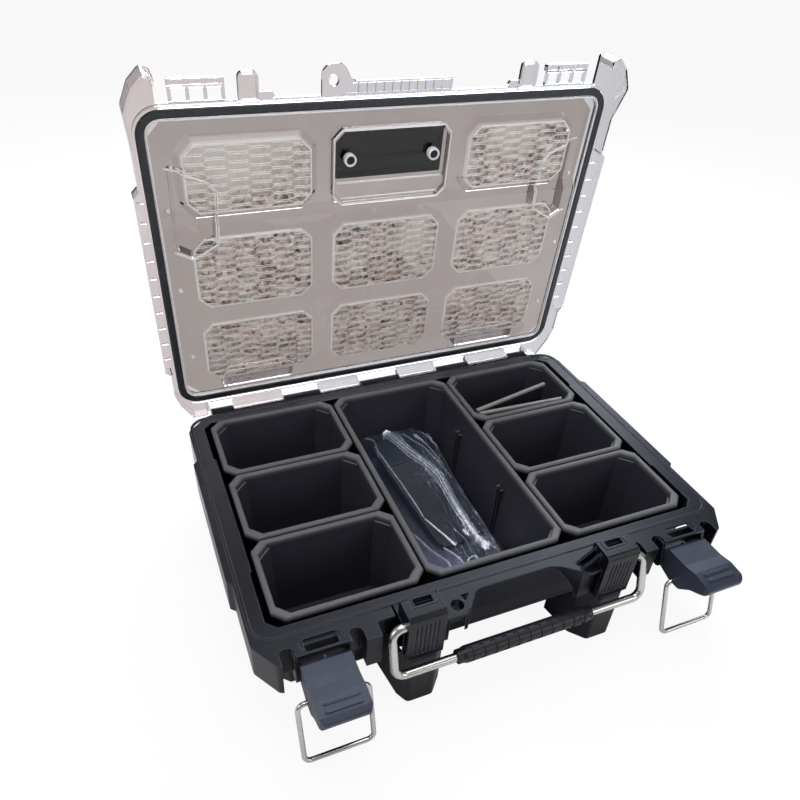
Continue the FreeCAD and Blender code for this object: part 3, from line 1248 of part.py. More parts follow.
def main():
    """Build every piece and write it."""
    os.makedirs("parts", exist_ok=True)
    pieces = small_bins()
    pieces["bin_centre"] = centre_bin()
    pieces["base_shell"] = base_shell()
    pieces["hinge_pin"] = hinge_pin()
    pieces["handle_rod"] = handle_rod()
    pieces["handle_grip"] = handle_grip()
    pieces["stack_bracket_left"] = one_solid(mirrored(bracket()))
    pieces["stack_bracket_right"] = one_solid(bracket().fuse(bracket_gussets()))
    for name, shape in (("latch_lever", latch_lever()), ("latch_pin", latch_pin()),
                        ("latch_bail", latch_bail())):
        pieces[name + "_right"] = shape
        pieces[name + "_left"] = mirrored(shape)
    pieces["lid_shell"] = opened(lid_shell())
    pieces["lid_gasket"] = opened(lid_gasket())
    pieces["label_plate"] = opened(label_plate())
    pieces["divider_front"] = divider(FRONT_DIVIDER)
    pieces["divider_slanted"] = divider(SLANTED_DIVIDER)
    pieces["spare_panel"] = spare_panel()
    pieces["spares_bag"] = spares_bag()
    for name, shape in pieces.items():
        write(name, shape)


main()
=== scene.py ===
"""Looks of the tool organizer case: studio, finishes, lid relief, grip and the clear bag.

Lengths are in metres. X runs to the right, Y runs back to the hinge and Z runs up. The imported
CAD model gives every place, and the lid's own pieces are made closed and then opened with it.
"""

import json
import logging
import math
from dataclasses import dataclass
from enum import Enum
from typing import Any, Callable, Dict, List, Mapping, Optional, Sequence, Tuple, Union

import bpy
import numpy
from mathutils import Matrix, Vector, noise


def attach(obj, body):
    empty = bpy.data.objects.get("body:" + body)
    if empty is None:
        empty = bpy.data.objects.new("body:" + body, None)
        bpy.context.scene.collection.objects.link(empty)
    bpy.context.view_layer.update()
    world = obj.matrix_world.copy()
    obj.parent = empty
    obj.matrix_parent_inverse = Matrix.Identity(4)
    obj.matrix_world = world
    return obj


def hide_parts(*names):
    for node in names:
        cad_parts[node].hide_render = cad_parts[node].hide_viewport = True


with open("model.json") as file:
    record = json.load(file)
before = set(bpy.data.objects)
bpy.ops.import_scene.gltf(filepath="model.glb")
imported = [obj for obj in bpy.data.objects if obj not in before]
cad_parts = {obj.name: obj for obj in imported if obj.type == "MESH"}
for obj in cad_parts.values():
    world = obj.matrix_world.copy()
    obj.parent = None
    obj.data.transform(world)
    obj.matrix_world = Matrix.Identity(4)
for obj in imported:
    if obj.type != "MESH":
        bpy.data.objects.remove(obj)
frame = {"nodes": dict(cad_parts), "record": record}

LOG = logging.getLogger("case")
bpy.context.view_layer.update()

Colour = Tuple[float, float, float]
Point = Tuple[float, float, float]
Plane = Tuple[float, float]


class Axis(Enum):
    """The three directions of the shared frame."""

    X = 0
    Y = 1
    Z = 2


# Shader maths

def operator(operation: str, reflected: bool = False) -> Callable[..., "Signal"]:
    """Make one operator of the signals, which adds a Math node.

    Args:
        operation: Blender's name of the operation.
        reflected: Whether the other operand comes first.

    Returns:
        The operator as a method.
    """
    def method(signal: "Signal", other: "Value" = 0.0) -> "Signal":
        """Join the signal and the other operand."""
        first, second = (other, signal) if reflected else (signal, other)
        return signal.tree.node("ShaderNodeMath", {"operation": operation}, {0: first, 1: second})

    return method


class Signal:
    """A shader socket that takes part in Python expressions."""

    __add__ = operator("ADD")
    __radd__ = operator("ADD", reflected=True)
    __sub__ = operator("SUBTRACT")
    __rsub__ = operator("SUBTRACT", reflected=True)
    __mul__ = operator("MULTIPLY")
    __rmul__ = operator("MULTIPLY", reflected=True)
    __pow__ = operator("POWER")
    __abs__ = operator("ABSOLUTE")

    def __init__(self, tree: "ShaderTree", socket: bpy.types.NodeSocket) -> None:
        """Wrap one output socket."""
        self.tree = tree
        self.socket = socket


Value = Union[float, Signal]


class ShaderTree:
    """The node tree of one material or world."""

    BEVEL_SAMPLES = 4
    EDGE_TURN = (0.01, 0.14)

    def __init__(self, tree: bpy.types.NodeTree) -> None:
        """Start from an empty tree."""
        self.tree = tree
        self.tree.nodes.clear()

    def node(self, kind: str, settings: Optional[Mapping[str, Any]] = None,
             inputs: Optional[Mapping[Union[int, str], Any]] = None,
             output: Union[int, str] = 0) -> Signal:
        """Add any node.

        Args:
            kind: The node's type.
            settings: Properties set before the sockets; "stops" fills a colour ramp.
            inputs: Values or signals by socket name or number.
            output: The socket that the result reads.

        Returns:
            The chosen output as a signal.
        """
        added = self.tree.nodes.new(kind)
        for name, value in (settings or {}).items():
            if name == "stops":
                self._fill_ramp(added, value)
            else:
                setattr(added, name, value)
        for key, value in (inputs or {}).items():
            socket = added.inputs[key]
            if isinstance(value, Signal):
                self.tree.links.new(value.socket, socket)
            elif isinstance(value, tuple) and len(value) == 3 and socket.type == "RGBA":
                socket.default_value = (*value, 1.0)
            else:
                socket.default_value = value
        return Signal(self, added.outputs[output] if len(added.outputs) else added.inputs[0])

    @staticmethod
    def _fill_ramp(added: bpy.types.Node, stops: Sequence[Tuple[float, float]]) -> None:
        """Give a colour ramp its grey stops.

        Args:
            added: The ramp node.
            stops: Places and grey values.
        """
        ramp = added.color_ramp
        while len(ramp.elements) < len(stops):
            ramp.elements.new(0.5)
        for element, (place, grey) in zip(ramp.elements, stops):
            element.position = place
            element.color = (grey, grey, grey, 1.0)

    def place(self, scale: Point = (1.0, 1.0, 1.0), turn: Point = (0.0, 0.0, 0.0),
              shift: Point = (0.0, 0.0, 0.0)) -> Signal:
        """Place on the piece, stretched, turned and then moved."""
        here = self.node("ShaderNodeTexCoord", output="Object")
        return self.node("ShaderNodeMapping", {}, {
            "Vector": here, "Scale": scale, "Rotation": turn, "Location": shift})

    def axis(self, axis: Axis, where: Optional[Signal] = None) -> Signal:
        """One coordinate of the place on the piece, in metres."""
        return self.node("ShaderNodeSeparateXYZ", {}, {0: where or self.place()}, axis.value)

    def step(self, signal: Signal, low: float, high: float) -> Signal:
        """Smooth rise from 0 at the low value to 1 at the high one."""
        return self.node("ShaderNodeMapRange", {"interpolation_type": "SMOOTHSTEP"}, {
            "Value": signal, "From Min": low, "From Max": high})

    def band(self, signal: Signal, centre: float, half: float, soft: float = 0.0006) -> Signal:
        """One within a half width of the centre and zero beside it, past a soft edge."""
        return 1.0 - self.step(abs(signal - centre), half, half + soft)

    def octagon(self, across: Signal, along: Signal, middle: Plane, half: Plane,
                corner: float) -> Signal:
        """One within a rectangle with cut corners and zero beside it.

        Args:
            across: First coordinate.
            along: Second coordinate.
            middle: Middle of the rectangle.
            half: Its half width and half depth.
            corner: How much is cut from each corner.

        Returns:
            The region.
        """
        off_across, off_along = abs(across - middle[0]), abs(along - middle[1])
        slant = self.band(off_across + off_along, 0.0, half[0] + half[1] - corner)
        return self.band(off_across, 0.0, half[0]) * self.band(off_along, 0.0, half[1]) * slant

    def blob(self, across: Signal, along: Signal, middle: Plane, reach: float) -> Signal:
        """Soft round patch: 1 in its middle and 0 from its reach on."""
        square = (across - middle[0]) ** 2.0 + (along - middle[1]) ** 2.0
        return 1.0 - self.step(square, 0.0, reach ** 2)

    def noise(self, scale: float, detail: float = 3.0, where: Optional[Signal] = None,
              roughness: float = 0.5) -> Signal:
        """Soft noise from 0 to 1, with its features per metre and its finer layers."""
        return self.node("ShaderNodeTexNoise", {}, {
            "Vector": where or self.place(), "Scale": scale, "Detail": detail,
            "Roughness": roughness})

    def ramp(self, factor: Signal, *stops: Tuple[float, float]) -> Signal:
        """Shape a signal by grey stops, each a place and a value."""
        return self.node("ShaderNodeValToRGB", {"stops": stops}, {"Fac": factor})

    def blend(self, factor: Value, first: Any, second: Any) -> Signal:
        """Mix two colours by the share of the second one."""
        return self.node("ShaderNodeMix", {"data_type": "RGBA"}, {0: factor, 6: first, 7: second}, 2)

    def rounded(self, radius: float) -> Signal:
        """Normal that runs round the edges within a radius."""
        return self.node("ShaderNodeBevel", {"samples": self.BEVEL_SAMPLES}, {"Radius": radius})

    def bump(self, height: Signal, depth: float, rounding: float = 0.0) -> Signal:
        """Bump from a height signal, over edges that look slightly rounded.

        Args:
            height: Height from 0 to 1.
            depth: Real depth in metres.
            rounding: Radius of the edges in metres.

        Returns:
            The bent normal.
        """
        inputs = {"Height": height, "Distance": depth, "Strength": 1.0}
        if rounding:
            inputs["Normal"] = self.rounded(rounding)
        return self.node("ShaderNodeBump", {}, inputs)

    def edges(self, radius: float) -> Signal:
        """One on the edges of the piece and zero on its faces.

        Args:
            radius: Reach of the edges in metres.

        Returns:
            The edges.
        """
        bent = self.rounded(radius)
        flat = self.node("ShaderNodeNewGeometry", output="Normal")
        same = self.node("ShaderNodeVectorMath", {"operation": "DOT_PRODUCT"}, {0: bent, 1: flat},
                         "Value")
        return self.step(1.0 - same, *self.EDGE_TURN)

    def surface(self, **sockets: Any) -> Signal:
        """Principled surface on the material's output.

        Args:
            **sockets: Principled sockets, with underscores for spaces.

        Returns:
            The shader.
        """
        inputs = {name.replace("_", " "): value for name, value in sockets.items()}
        shader = self.node("ShaderNodeBsdfPrincipled", {}, inputs)
        self.node("ShaderNodeOutputMaterial", {}, {"Surface": shader})
        return shader


class Finish:
    """One finish: makes its material once and dresses pieces with it."""

    slot: str

    def paint(self, tree: ShaderTree) -> None:
        """Fill the material's tree."""
        raise NotImplementedError

    def material(self) -> bpy.types.Material:
        """The finish's material, made when first asked for."""
        name = "finish_" + self.slot
        known = bpy.data.materials.get(name)
        if known:
            return known
        made = bpy.data.materials.new(name)
        made.use_nodes = True
        self.paint(ShaderTree(made.node_tree))
        return made

    def dress(self, piece: bpy.types.Object) -> None:
        """Put the material on every slot of a piece.

        Args:
            piece: The object to dress.
        """
        if not piece.material_slots:
            piece.data.materials.append(self.material())
        for slot in piece.material_slots:
            slot.material = self.material()


@dataclass(frozen=True)
class MouldedPlastic(Finish):
    """Matte moulded plastic with an eroded grain and faint flow marks."""

    slot: str
    colour: Colour
    sheen: Colour
    roughness: float = 0.46
    grain: float = 900.0
    depth: float = 0.00005
    gloss: float = 0.35
    rounding: float = 0.0006
    # Colour of the painted highlight along the edges.
    edge: Colour = (0.060, 0.064, 0.080)

    def paint(self, tree: ShaderTree) -> None:
        """Fine grain, cloudy sheen, slightly uneven gloss and a painted highlight along the edges."""
        fine = tree.noise(self.grain, 2.0)
        cloud = tree.noise(14.0, 3.0)
        shade = tree.ramp(cloud, (0.35, 0.0), (0.7, 1.0)) * 0.6 + fine * 0.4
        ground = tree.blend(shade, self.colour, self.sheen)
        # The edges are painted lighter in the edge colour: a painted highlight.
        tree.surface(Base_Color=tree.blend(tree.edges(self.rounding) * 0.7, ground, self.edge),
                     Roughness=self.roughness + (cloud - 0.5) * 0.12 + (fine - 0.5) * 0.1,
                     Specular_IOR_Level=self.gloss,
                     Normal=tree.bump(fine, self.depth, self.rounding))


@dataclass(frozen=True)
class PanelPlastic(Finish):
    """Spare panel: dark blue behind its groove and grey in front of it, the grey partly its own tone and
    partly painted glare of the film.
    """

    slot: str
    rear: Colour
    front: Colour
    groove: float

    def paint(self, tree: ShaderTree) -> None:
        """Two tones that meet at the groove, under one fine grain."""
        fine = tree.noise(600.0, 3.0)
        behind = tree.step(tree.axis(Axis.Y), self.groove - 0.004, self.groove + 0.002)
        # Front tone: partly the panel's own grey and partly painted glare of the film over it.
        tone = tree.blend(behind, self.front, self.rear)
        tree.surface(Base_Color=tree.blend(fine * 0.1, tone, (0.12, 0.12, 0.14)),
                     Roughness=0.36 + (fine - 0.5) * 0.1, Specular_IOR_Level=0.2,
                     Normal=tree.bump(fine, 0.00004))


@dataclass(frozen=True)
class BinPlastic(Finish):
    """Dark bin plastic: its rim and the upward tops of its ledges and slots are painted lighter as
    highlight, its walls darker as shade.
    """

    slot: str
    # The wall colour is painted darker as shade inside the bin; the rim colour is painted lighter as
    # highlight.
    wall: Colour
    rim_highlight: Colour
    rim_from: float = 0.1085
    rim_to: float = 0.1145
    ledge: float = 0.1084
    slot_top: float = 0.0826
    roughness: float = 0.42

    def paint(self, tree: ShaderTree) -> None:
        """Rim and upward ledge and slot tops painted lighter as highlight, faint scuffs and an eroded
        grain.
        """
        fine = tree.noise(800.0, 2.0)
        scuff = tree.ramp(tree.noise(60.0, 4.0, tree.place((1.0, 6.0, 1.0))), (0.60, 0.0), (0.80, 1.0))
        height = tree.axis(Axis.Z)
        # Painted highlight on the rim, and on ledge and slot tops only where they face up.
        edge = tree.step(height, self.rim_from, self.rim_to)
        flat = tree.node("ShaderNodeNewGeometry", output="True Normal")
        level = tree.step(tree.axis(Axis.Z, flat), 0.5, 0.8)
        ledges = tree.band(height, self.ledge, 0.0002) + tree.band(height, self.slot_top, 0.0004)
        # Blend from the walls' painted shade to the rim's painted highlight.
        painted_light = tree.blend(edge + ledges * level * 2.5, self.wall, self.rim_highlight)
        tree.surface(Base_Color=tree.blend(scuff * 0.03 + fine * 0.06, painted_light, (0.30, 0.30, 0.31)),
                     Roughness=self.roughness + (fine - 0.5) * 0.12 + scuff * 0.08,
                     Specular_IOR_Level=0.16, Normal=tree.bump(fine, 0.00005, 0.0008))


@dataclass(frozen=True)
class SteelWire(Finish):
    """Drawn stainless wire."""

    slot: str
    colour: Colour = (0.40, 0.39, 0.375)
    roughness: float = 0.24

    def paint(self, tree: ShaderTree) -> None:
        """Drawing streaks and small handling marks."""
        streak = tree.noise(300.0, 3.0, tree.place((0.04, 1.0, 1.0)))
        mark = tree.noise(90.0, 4.0)
        tree.surface(Base_Color=tree.blend(streak, self.colour, (0.58, 0.575, 0.55)), Metallic=1.0,
                     Roughness=self.roughness + (streak - 0.5) * 0.16 + (mark - 0.5) * 0.1,
                     Normal=tree.bump(streak, 0.00001))


@dataclass(frozen=True)
class LidPlastic(Finish):
    """Clear moulded plastic: nearly clear in the frame, darker in the panel, clear in its windows.

    Its tints are the painted colour of the backdrop seen through it. The pattern is laid out on the closed
    lid and opened with it.
    """

    slot: str
    hinge: "Hinge"
    windows: "WindowRows"
    # Painted colour of the backdrop seen through: pink through the frame's left, blue-grey through its
    # right, taupe through the panel, lighter through the windows.
    frame_tint: Colour = (0.62, 0.55, 0.55)
    right_tint: Colour = (0.61, 0.60, 0.63)
    panel_tint: Colour = (0.345, 0.300, 0.288)
    window_tint: Colour = (0.61, 0.56, 0.53)
    panel_middle: Plane = (0.0, -0.0025)
    panel_half: Plane = (0.2570, 0.1680)
    panel_corner: float = 0.016
    roughness: float = 0.03
    rounding: float = 0.0005

    def paint(self, tree: ShaderTree) -> None:
        """Painted backdrop tints by region, a faint cloudiness and slightly rounded edges."""
        closed = self.hinge.closed_place(tree)
        sideways, along = tree.axis(Axis.X, closed), tree.axis(Axis.Y, closed)
        across = abs(sideways)
        panel = tree.octagon(across, along, self.panel_middle, self.panel_half, self.panel_corner)
        window = 0.0
        for row, (front, back) in enumerate(self.windows.rows):
            half = (self.windows.half_width, (back - front) / 2)
            for column in self.windows.columns(row):
                if column >= 0.0:
                    middle = (column, (front + back) / 2)
                    window = tree.octagon(across, along, middle, half, self.windows.corner) + window
        cloud = tree.noise(22.0, 4.0)
        haze = tree.ramp(cloud, (0.35, 0.0), (0.7, 1.0))
        # Painted backdrop seen through the panel, taupe with a faint cloudiness.
        backdrop_in_panel = tree.blend(haze * 0.25, self.panel_tint, (0.44, 0.40, 0.385))
        frame_tone = tree.blend(tree.step(sideways, -0.26, 0.05), self.frame_tint, self.right_tint)
        tint = tree.blend(panel, frame_tone, backdrop_in_panel)
        tree.surface(Base_Color=tree.blend(window, tint, self.window_tint), IOR=1.38,
                     Transmission_Weight=1.0, Specular_IOR_Level=0.4,
                     Roughness=self.roughness + (cloud - 0.5) * 0.03,
                     Normal=tree.bump(cloud, 0.0002, self.rounding))


@dataclass(frozen=True)
class PatternedPane(Finish):
    """Mottled pane: each cell of its pattern gathers another tone of what lies behind it."""

    slot: str
    hinge: "Hinge"
    dark: Colour = (0.060, 0.044, 0.038)
    brown: Colour = (0.40, 0.285, 0.245)
    grey: Colour = (0.40, 0.350, 0.335)
    pale: Colour = (0.90, 0.82, 0.785)
    # Pale patches at fixed places, painted like the pane's other tones from what lies behind it.
    pale_patch: Colour = (0.82, 0.79, 0.755)
    haze: Tuple[Tuple[Plane, float], ...] = (
        ((-0.215, -0.142), 0.075), ((-0.150, -0.146), 0.070), ((0.035, -0.022), 0.034),
        ((0.150, -0.140), 0.045))

    def paint(self, tree: ShaderTree) -> None:
        """Cells of random tone, speckles in bands, and smooth pale patches."""
        closed = self.hinge.closed_place(tree)
        stretched = tree.place((1.0, 1.0, 1.1))
        cell = tree.node("ShaderNodeTexVoronoi", {}, {"Vector": stretched, "Scale": 240.0}, "Color")
        large = tree.noise(55.0, 2.0, stretched)
        banded = tree.noise(190.0, 4.0, stretched, 0.65)
        speck = tree.noise(640.0, 3.0, stretched, 0.6)
        hue = tree.ramp(tree.noise(34.0, 2.0), (0.42, 0.0), (0.58, 1.0))
        tone = banded * 0.40 + speck * 0.17 + cell * 0.18 + large * 0.25
        ground = tree.blend(tree.ramp(tone, (0.44, 0.0), (0.60, 1.0)),
                            tree.blend(hue, self.brown, self.grey), self.pale)
        colour = tree.blend(tree.ramp(tone, (0.37, 1.0), (0.46, 0.0)), ground, self.dark)
        across, along = tree.axis(Axis.X, closed), tree.axis(Axis.Y, closed)
        # The pale patches are painted backdrop seen through the pane.
        patches = 0.0
        for middle, reach in self.haze:
            patches = tree.blob(across, along, middle, reach) * 0.70 + patches
        tree.surface(Base_Color=tree.blend(patches, colour, self.pale_patch), IOR=1.38,
                     Transmission_Weight=0.85, Roughness=0.30 + (speck - 0.5) * 0.1,
                     Normal=tree.bump(banded, 0.0004))


@dataclass(frozen=True)
class PaleLine(Finish):
    """Raised clear plastic, painted pale as the highlight its edges catch."""

    slot: str
    # Pale colour: a painted highlight.
    colour: Colour = (0.82, 0.80, 0.78)
    clear: float = 0.15
    roughness: float = 0.15

    def paint(self, tree: ShaderTree) -> None:
        """Painted pale as highlight and partly clear, with a faint waviness."""
        wave = tree.noise(120.0, 3.0)
        tree.surface(Base_Color=tree.blend(wave, self.colour, (0.97, 0.96, 0.96)), IOR=1.38,
                     Transmission_Weight=self.clear, Roughness=self.roughness + (wave - 0.5) * 0.08,
                     Normal=tree.bump(wave, 0.0002))


@dataclass(frozen=True)
class Film(Finish):
    """Thin clear film with a painted highlight and a painted glow along its folds."""

    slot: str
    colour: Colour = (0.22, 0.29, 0.44)
    violet: Colour = (0.30, 0.27, 0.58)
    # The fold colour is a painted highlight.
    fold: Colour = (0.93, 0.94, 0.97)
    alpha: float = 0.05
    violet_place: Plane = (-0.026, -0.088)
    violet_reach: float = 0.050

    def paint(self, tree: ShaderTree) -> None:
        """Clear between the folds, painted white and glowing on them as highlight, with crinkles painted
        as highlight lines and a violet corner.
        """
        crease = tree.node("ShaderNodeAttribute", {"attribute_name": FilmBag.MARK}, {}, "Fac")
        crackle = tree.noise(240.0, 4.0, roughness=0.65)
        wide = tree.noise(26.0, 2.0)
        along = tree.noise(60.0, 3.0, tree.place((1.0, 0.16, 0.0), (0.0, 0.0, 0.16)), 0.55)
        across = tree.noise(48.0, 3.0, tree.place((0.5, 1.0, 0.0), (0.0, 0.0, -0.5)), 0.55)
        right, back = tree.axis(Axis.X), tree.axis(Axis.Y)
        # Crinkle lines are painted highlights, busier on the right and at the front.
        busy = tree.step(right, -0.010, 0.034) * 0.75 + (1.0 - tree.step(back, -0.075, -0.030)) * 0.5
        lines = tree.band(along, 0.50, 0.002, 0.016) + tree.band(along, 0.59, 0.001, 0.010)
        crossing = tree.band(across, 0.48, 0.002, 0.010) * tree.ramp(wide, (0.45, 0.0), (0.6, 1.0))
        crinkle = (lines + crossing) * busy * tree.ramp(wide, (0.38, 0.15), (0.60, 1.0))
        violet = tree.blob(right, back, self.violet_place, self.violet_reach) * (0.4 + wide)
        # Fold mask: painted highlight of creases and crinkles; it whitens, thickens and lights the film.
        fold = tree.node("ShaderNodeClamp", {}, {
            "Value": crease * (0.45 + crackle * 1.1) + crinkle * 0.42})
        clear = tree.blend(violet, self.colour, self.violet)
        tree.surface(Base_Color=tree.blend(fold, clear, self.fold), IOR=1.45,
                     Alpha=self.alpha + violet * 0.18 + fold * 0.82,
                     Roughness=0.08 + (crackle - 0.5) * 0.05, Specular_IOR_Level=0.22,
                     # The folds glow: painted light.
                     Emission_Color=tree.blend(fold, (0.0, 0.0, 0.0), (0.30, 0.32, 0.36)),
                     Emission_Strength=1.0, Normal=tree.bump(crackle, 0.0005))


@dataclass(frozen=True)
class Rubber(Finish):
    """Soft black rubber."""

    slot: str
    colour: Colour = (0.012, 0.014, 0.018)

    def paint(self, tree: ShaderTree) -> None:
        """Satin, dusty and slightly uneven."""
        dust = tree.noise(160.0, 5.0)
        tree.surface(Base_Color=tree.blend(tree.ramp(dust, (0.5, 0.0), (0.8, 1.0)) * 0.4, self.colour,
                                           (0.07, 0.07, 0.07)),
                     Roughness=0.40 + (dust - 0.5) * 0.2, Normal=tree.bump(dust, 0.00006))


# Making pieces

class Workbench:
    """Small moves of the modelling tools, with nothing else selected."""

    @staticmethod
    def clear() -> None:
        """Deselect everything."""
        if bpy.context.object and bpy.context.object.mode == "EDIT":
            bpy.ops.object.mode_set(mode="OBJECT")
        bpy.ops.object.select_all(action="DESELECT")

    @staticmethod
    def take(piece: bpy.types.Object) -> None:
        """Select one piece and make it active.

        Args:
            piece: The object.
        """
        Workbench.clear()
        piece.select_set(True)
        bpy.context.view_layer.objects.active = piece

    @staticmethod
    def pick(piece: bpy.types.Object, kind: str, test: Callable[[Any], bool]) -> None:
        """Select the faces, edges or vertices that pass a test, in edit mode.

        Args:
            piece: The object in edit mode.
            kind: "VERT", "EDGE" or "FACE".
            test: Says whether an element is taken.
        """
        bpy.ops.mesh.select_mode(type=kind)
        bpy.ops.mesh.select_all(action="DESELECT")
        bpy.ops.object.mode_set(mode="OBJECT")
        parts = {"VERT": piece.data.vertices, "EDGE": piece.data.edges, "FACE": piece.data.polygons}
        for part in parts[kind]:
            part.select = test(part)
        bpy.ops.object.mode_set(mode="EDIT")

    @staticmethod
    def apply_modifiers(piece: bpy.types.Object) -> None:
        """Apply every modifier of a piece.

        Args:
            piece: The object.
        """
        Workbench.take(piece)
        for modifier in list(piece.modifiers):
            bpy.ops.object.modifier_apply(modifier=modifier.name)

    @staticmethod
    def settle(piece: bpy.types.Object, place: Optional[Matrix] = None) -> None:
        """Put a piece's place into its mesh.

        Args:
            piece: The object.
            place: Where it goes first, if it isn't there yet.
        """
        if place is not None:
            piece.matrix_world = place
        Workbench.take(piece)
        bpy.ops.object.transform_apply(location=True, rotation=True, scale=True)

    @staticmethod
    def extrude(move: Point) -> None:
        """Extrude what is selected, in edit mode."""
        bpy.ops.mesh.extrude_region_move(TRANSFORM_OT_translate={"value": move})

    @staticmethod
    def close() -> None:
        """Turn all faces outwards and leave edit mode."""
        bpy.ops.mesh.select_all(action="SELECT")
        bpy.ops.mesh.normals_make_consistent(inside=False)
        bpy.ops.object.mode_set(mode="OBJECT")

    @staticmethod
    def smooth(piece: bpy.types.Object, degrees: float) -> None:
        """Shade a piece smooth, but for edges that turn more than an angle."""
        Workbench.take(piece)
        bpy.ops.object.shade_smooth_by_angle(angle=math.radians(degrees))

    @staticmethod
    def copy(piece: bpy.types.Object, name: str) -> bpy.types.Object:
        """Copy a piece with its own mesh.

        Args:
            piece: The object to copy.
            name: The copy's name.

        Returns:
            The copy.
        """
        twin = piece.copy()
        twin.data = piece.data.copy()
        twin.name = name
        bpy.context.scene.collection.objects.link(twin)
        return twin

    @staticmethod
    def join(pieces: Sequence[bpy.types.Object], name: str) -> bpy.types.Object:
        """Join pieces into the first.

        Args:
            pieces: The objects.
            name: The name of the result.

        Returns:
            The joined object.
        """
        Workbench.clear()
        for piece in pieces:
            piece.select_set(True)
        bpy.context.view_layer.objects.active = pieces[0]
        bpy.ops.object.join()
        pieces[0].name = name
        return pieces[0]


@dataclass(frozen=True)
class Hinge:
    """The lid's hinge, about which closed lid pieces are opened."""

    y: float = 0.1926
    z: float = 0.1062
    angle: float = math.radians(85.0)

    def opened(self) -> Matrix:
        """Move from the closed place to the open one."""
        axis = Vector((0.0, self.y, self.z))
        turn = Matrix.Rotation(-self.angle, 4, "X")
        return Matrix.Translation(axis) @ turn @ Matrix.Translation(-axis)

    def closed_place(self, tree: ShaderTree) -> Signal:
        """Place on the lid as if it were closed."""
        shift = tuple(self.opened().inverted().to_translation())
        return tree.place(turn=(self.angle, 0.0, 0.0), shift=shift)

    def mount(self, piece: bpy.types.Object, place: Optional[Matrix] = None) -> None:
        """Open a piece of the closed lid with the lid and let it ride there.

        Args:
            piece: The piece.
            place: Its place on the closed lid, if its mesh doesn't hold it.
        """
        Workbench.settle(piece, self.opened() if place is None else self.opened() @ place)
        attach(piece, "lid")


@dataclass(frozen=True)
class WindowRows:
    """Places of the lid's windows, with the lid closed: three rows of up to three columns."""

    half_width: float = 0.0672
    column: float = 0.1615
    corner: float = 0.012
    rows: Tuple[Plane, ...] = ((-0.1473, -0.0750), (-0.0454, 0.0406), (0.0646, 0.1461))

    def columns(self, row: int) -> Tuple[float, ...]:
        """Middles of the windows of one row; the front row leaves its middle to the label."""
        return (-self.column, self.column) if row == 0 else (-self.column, 0.0, self.column)


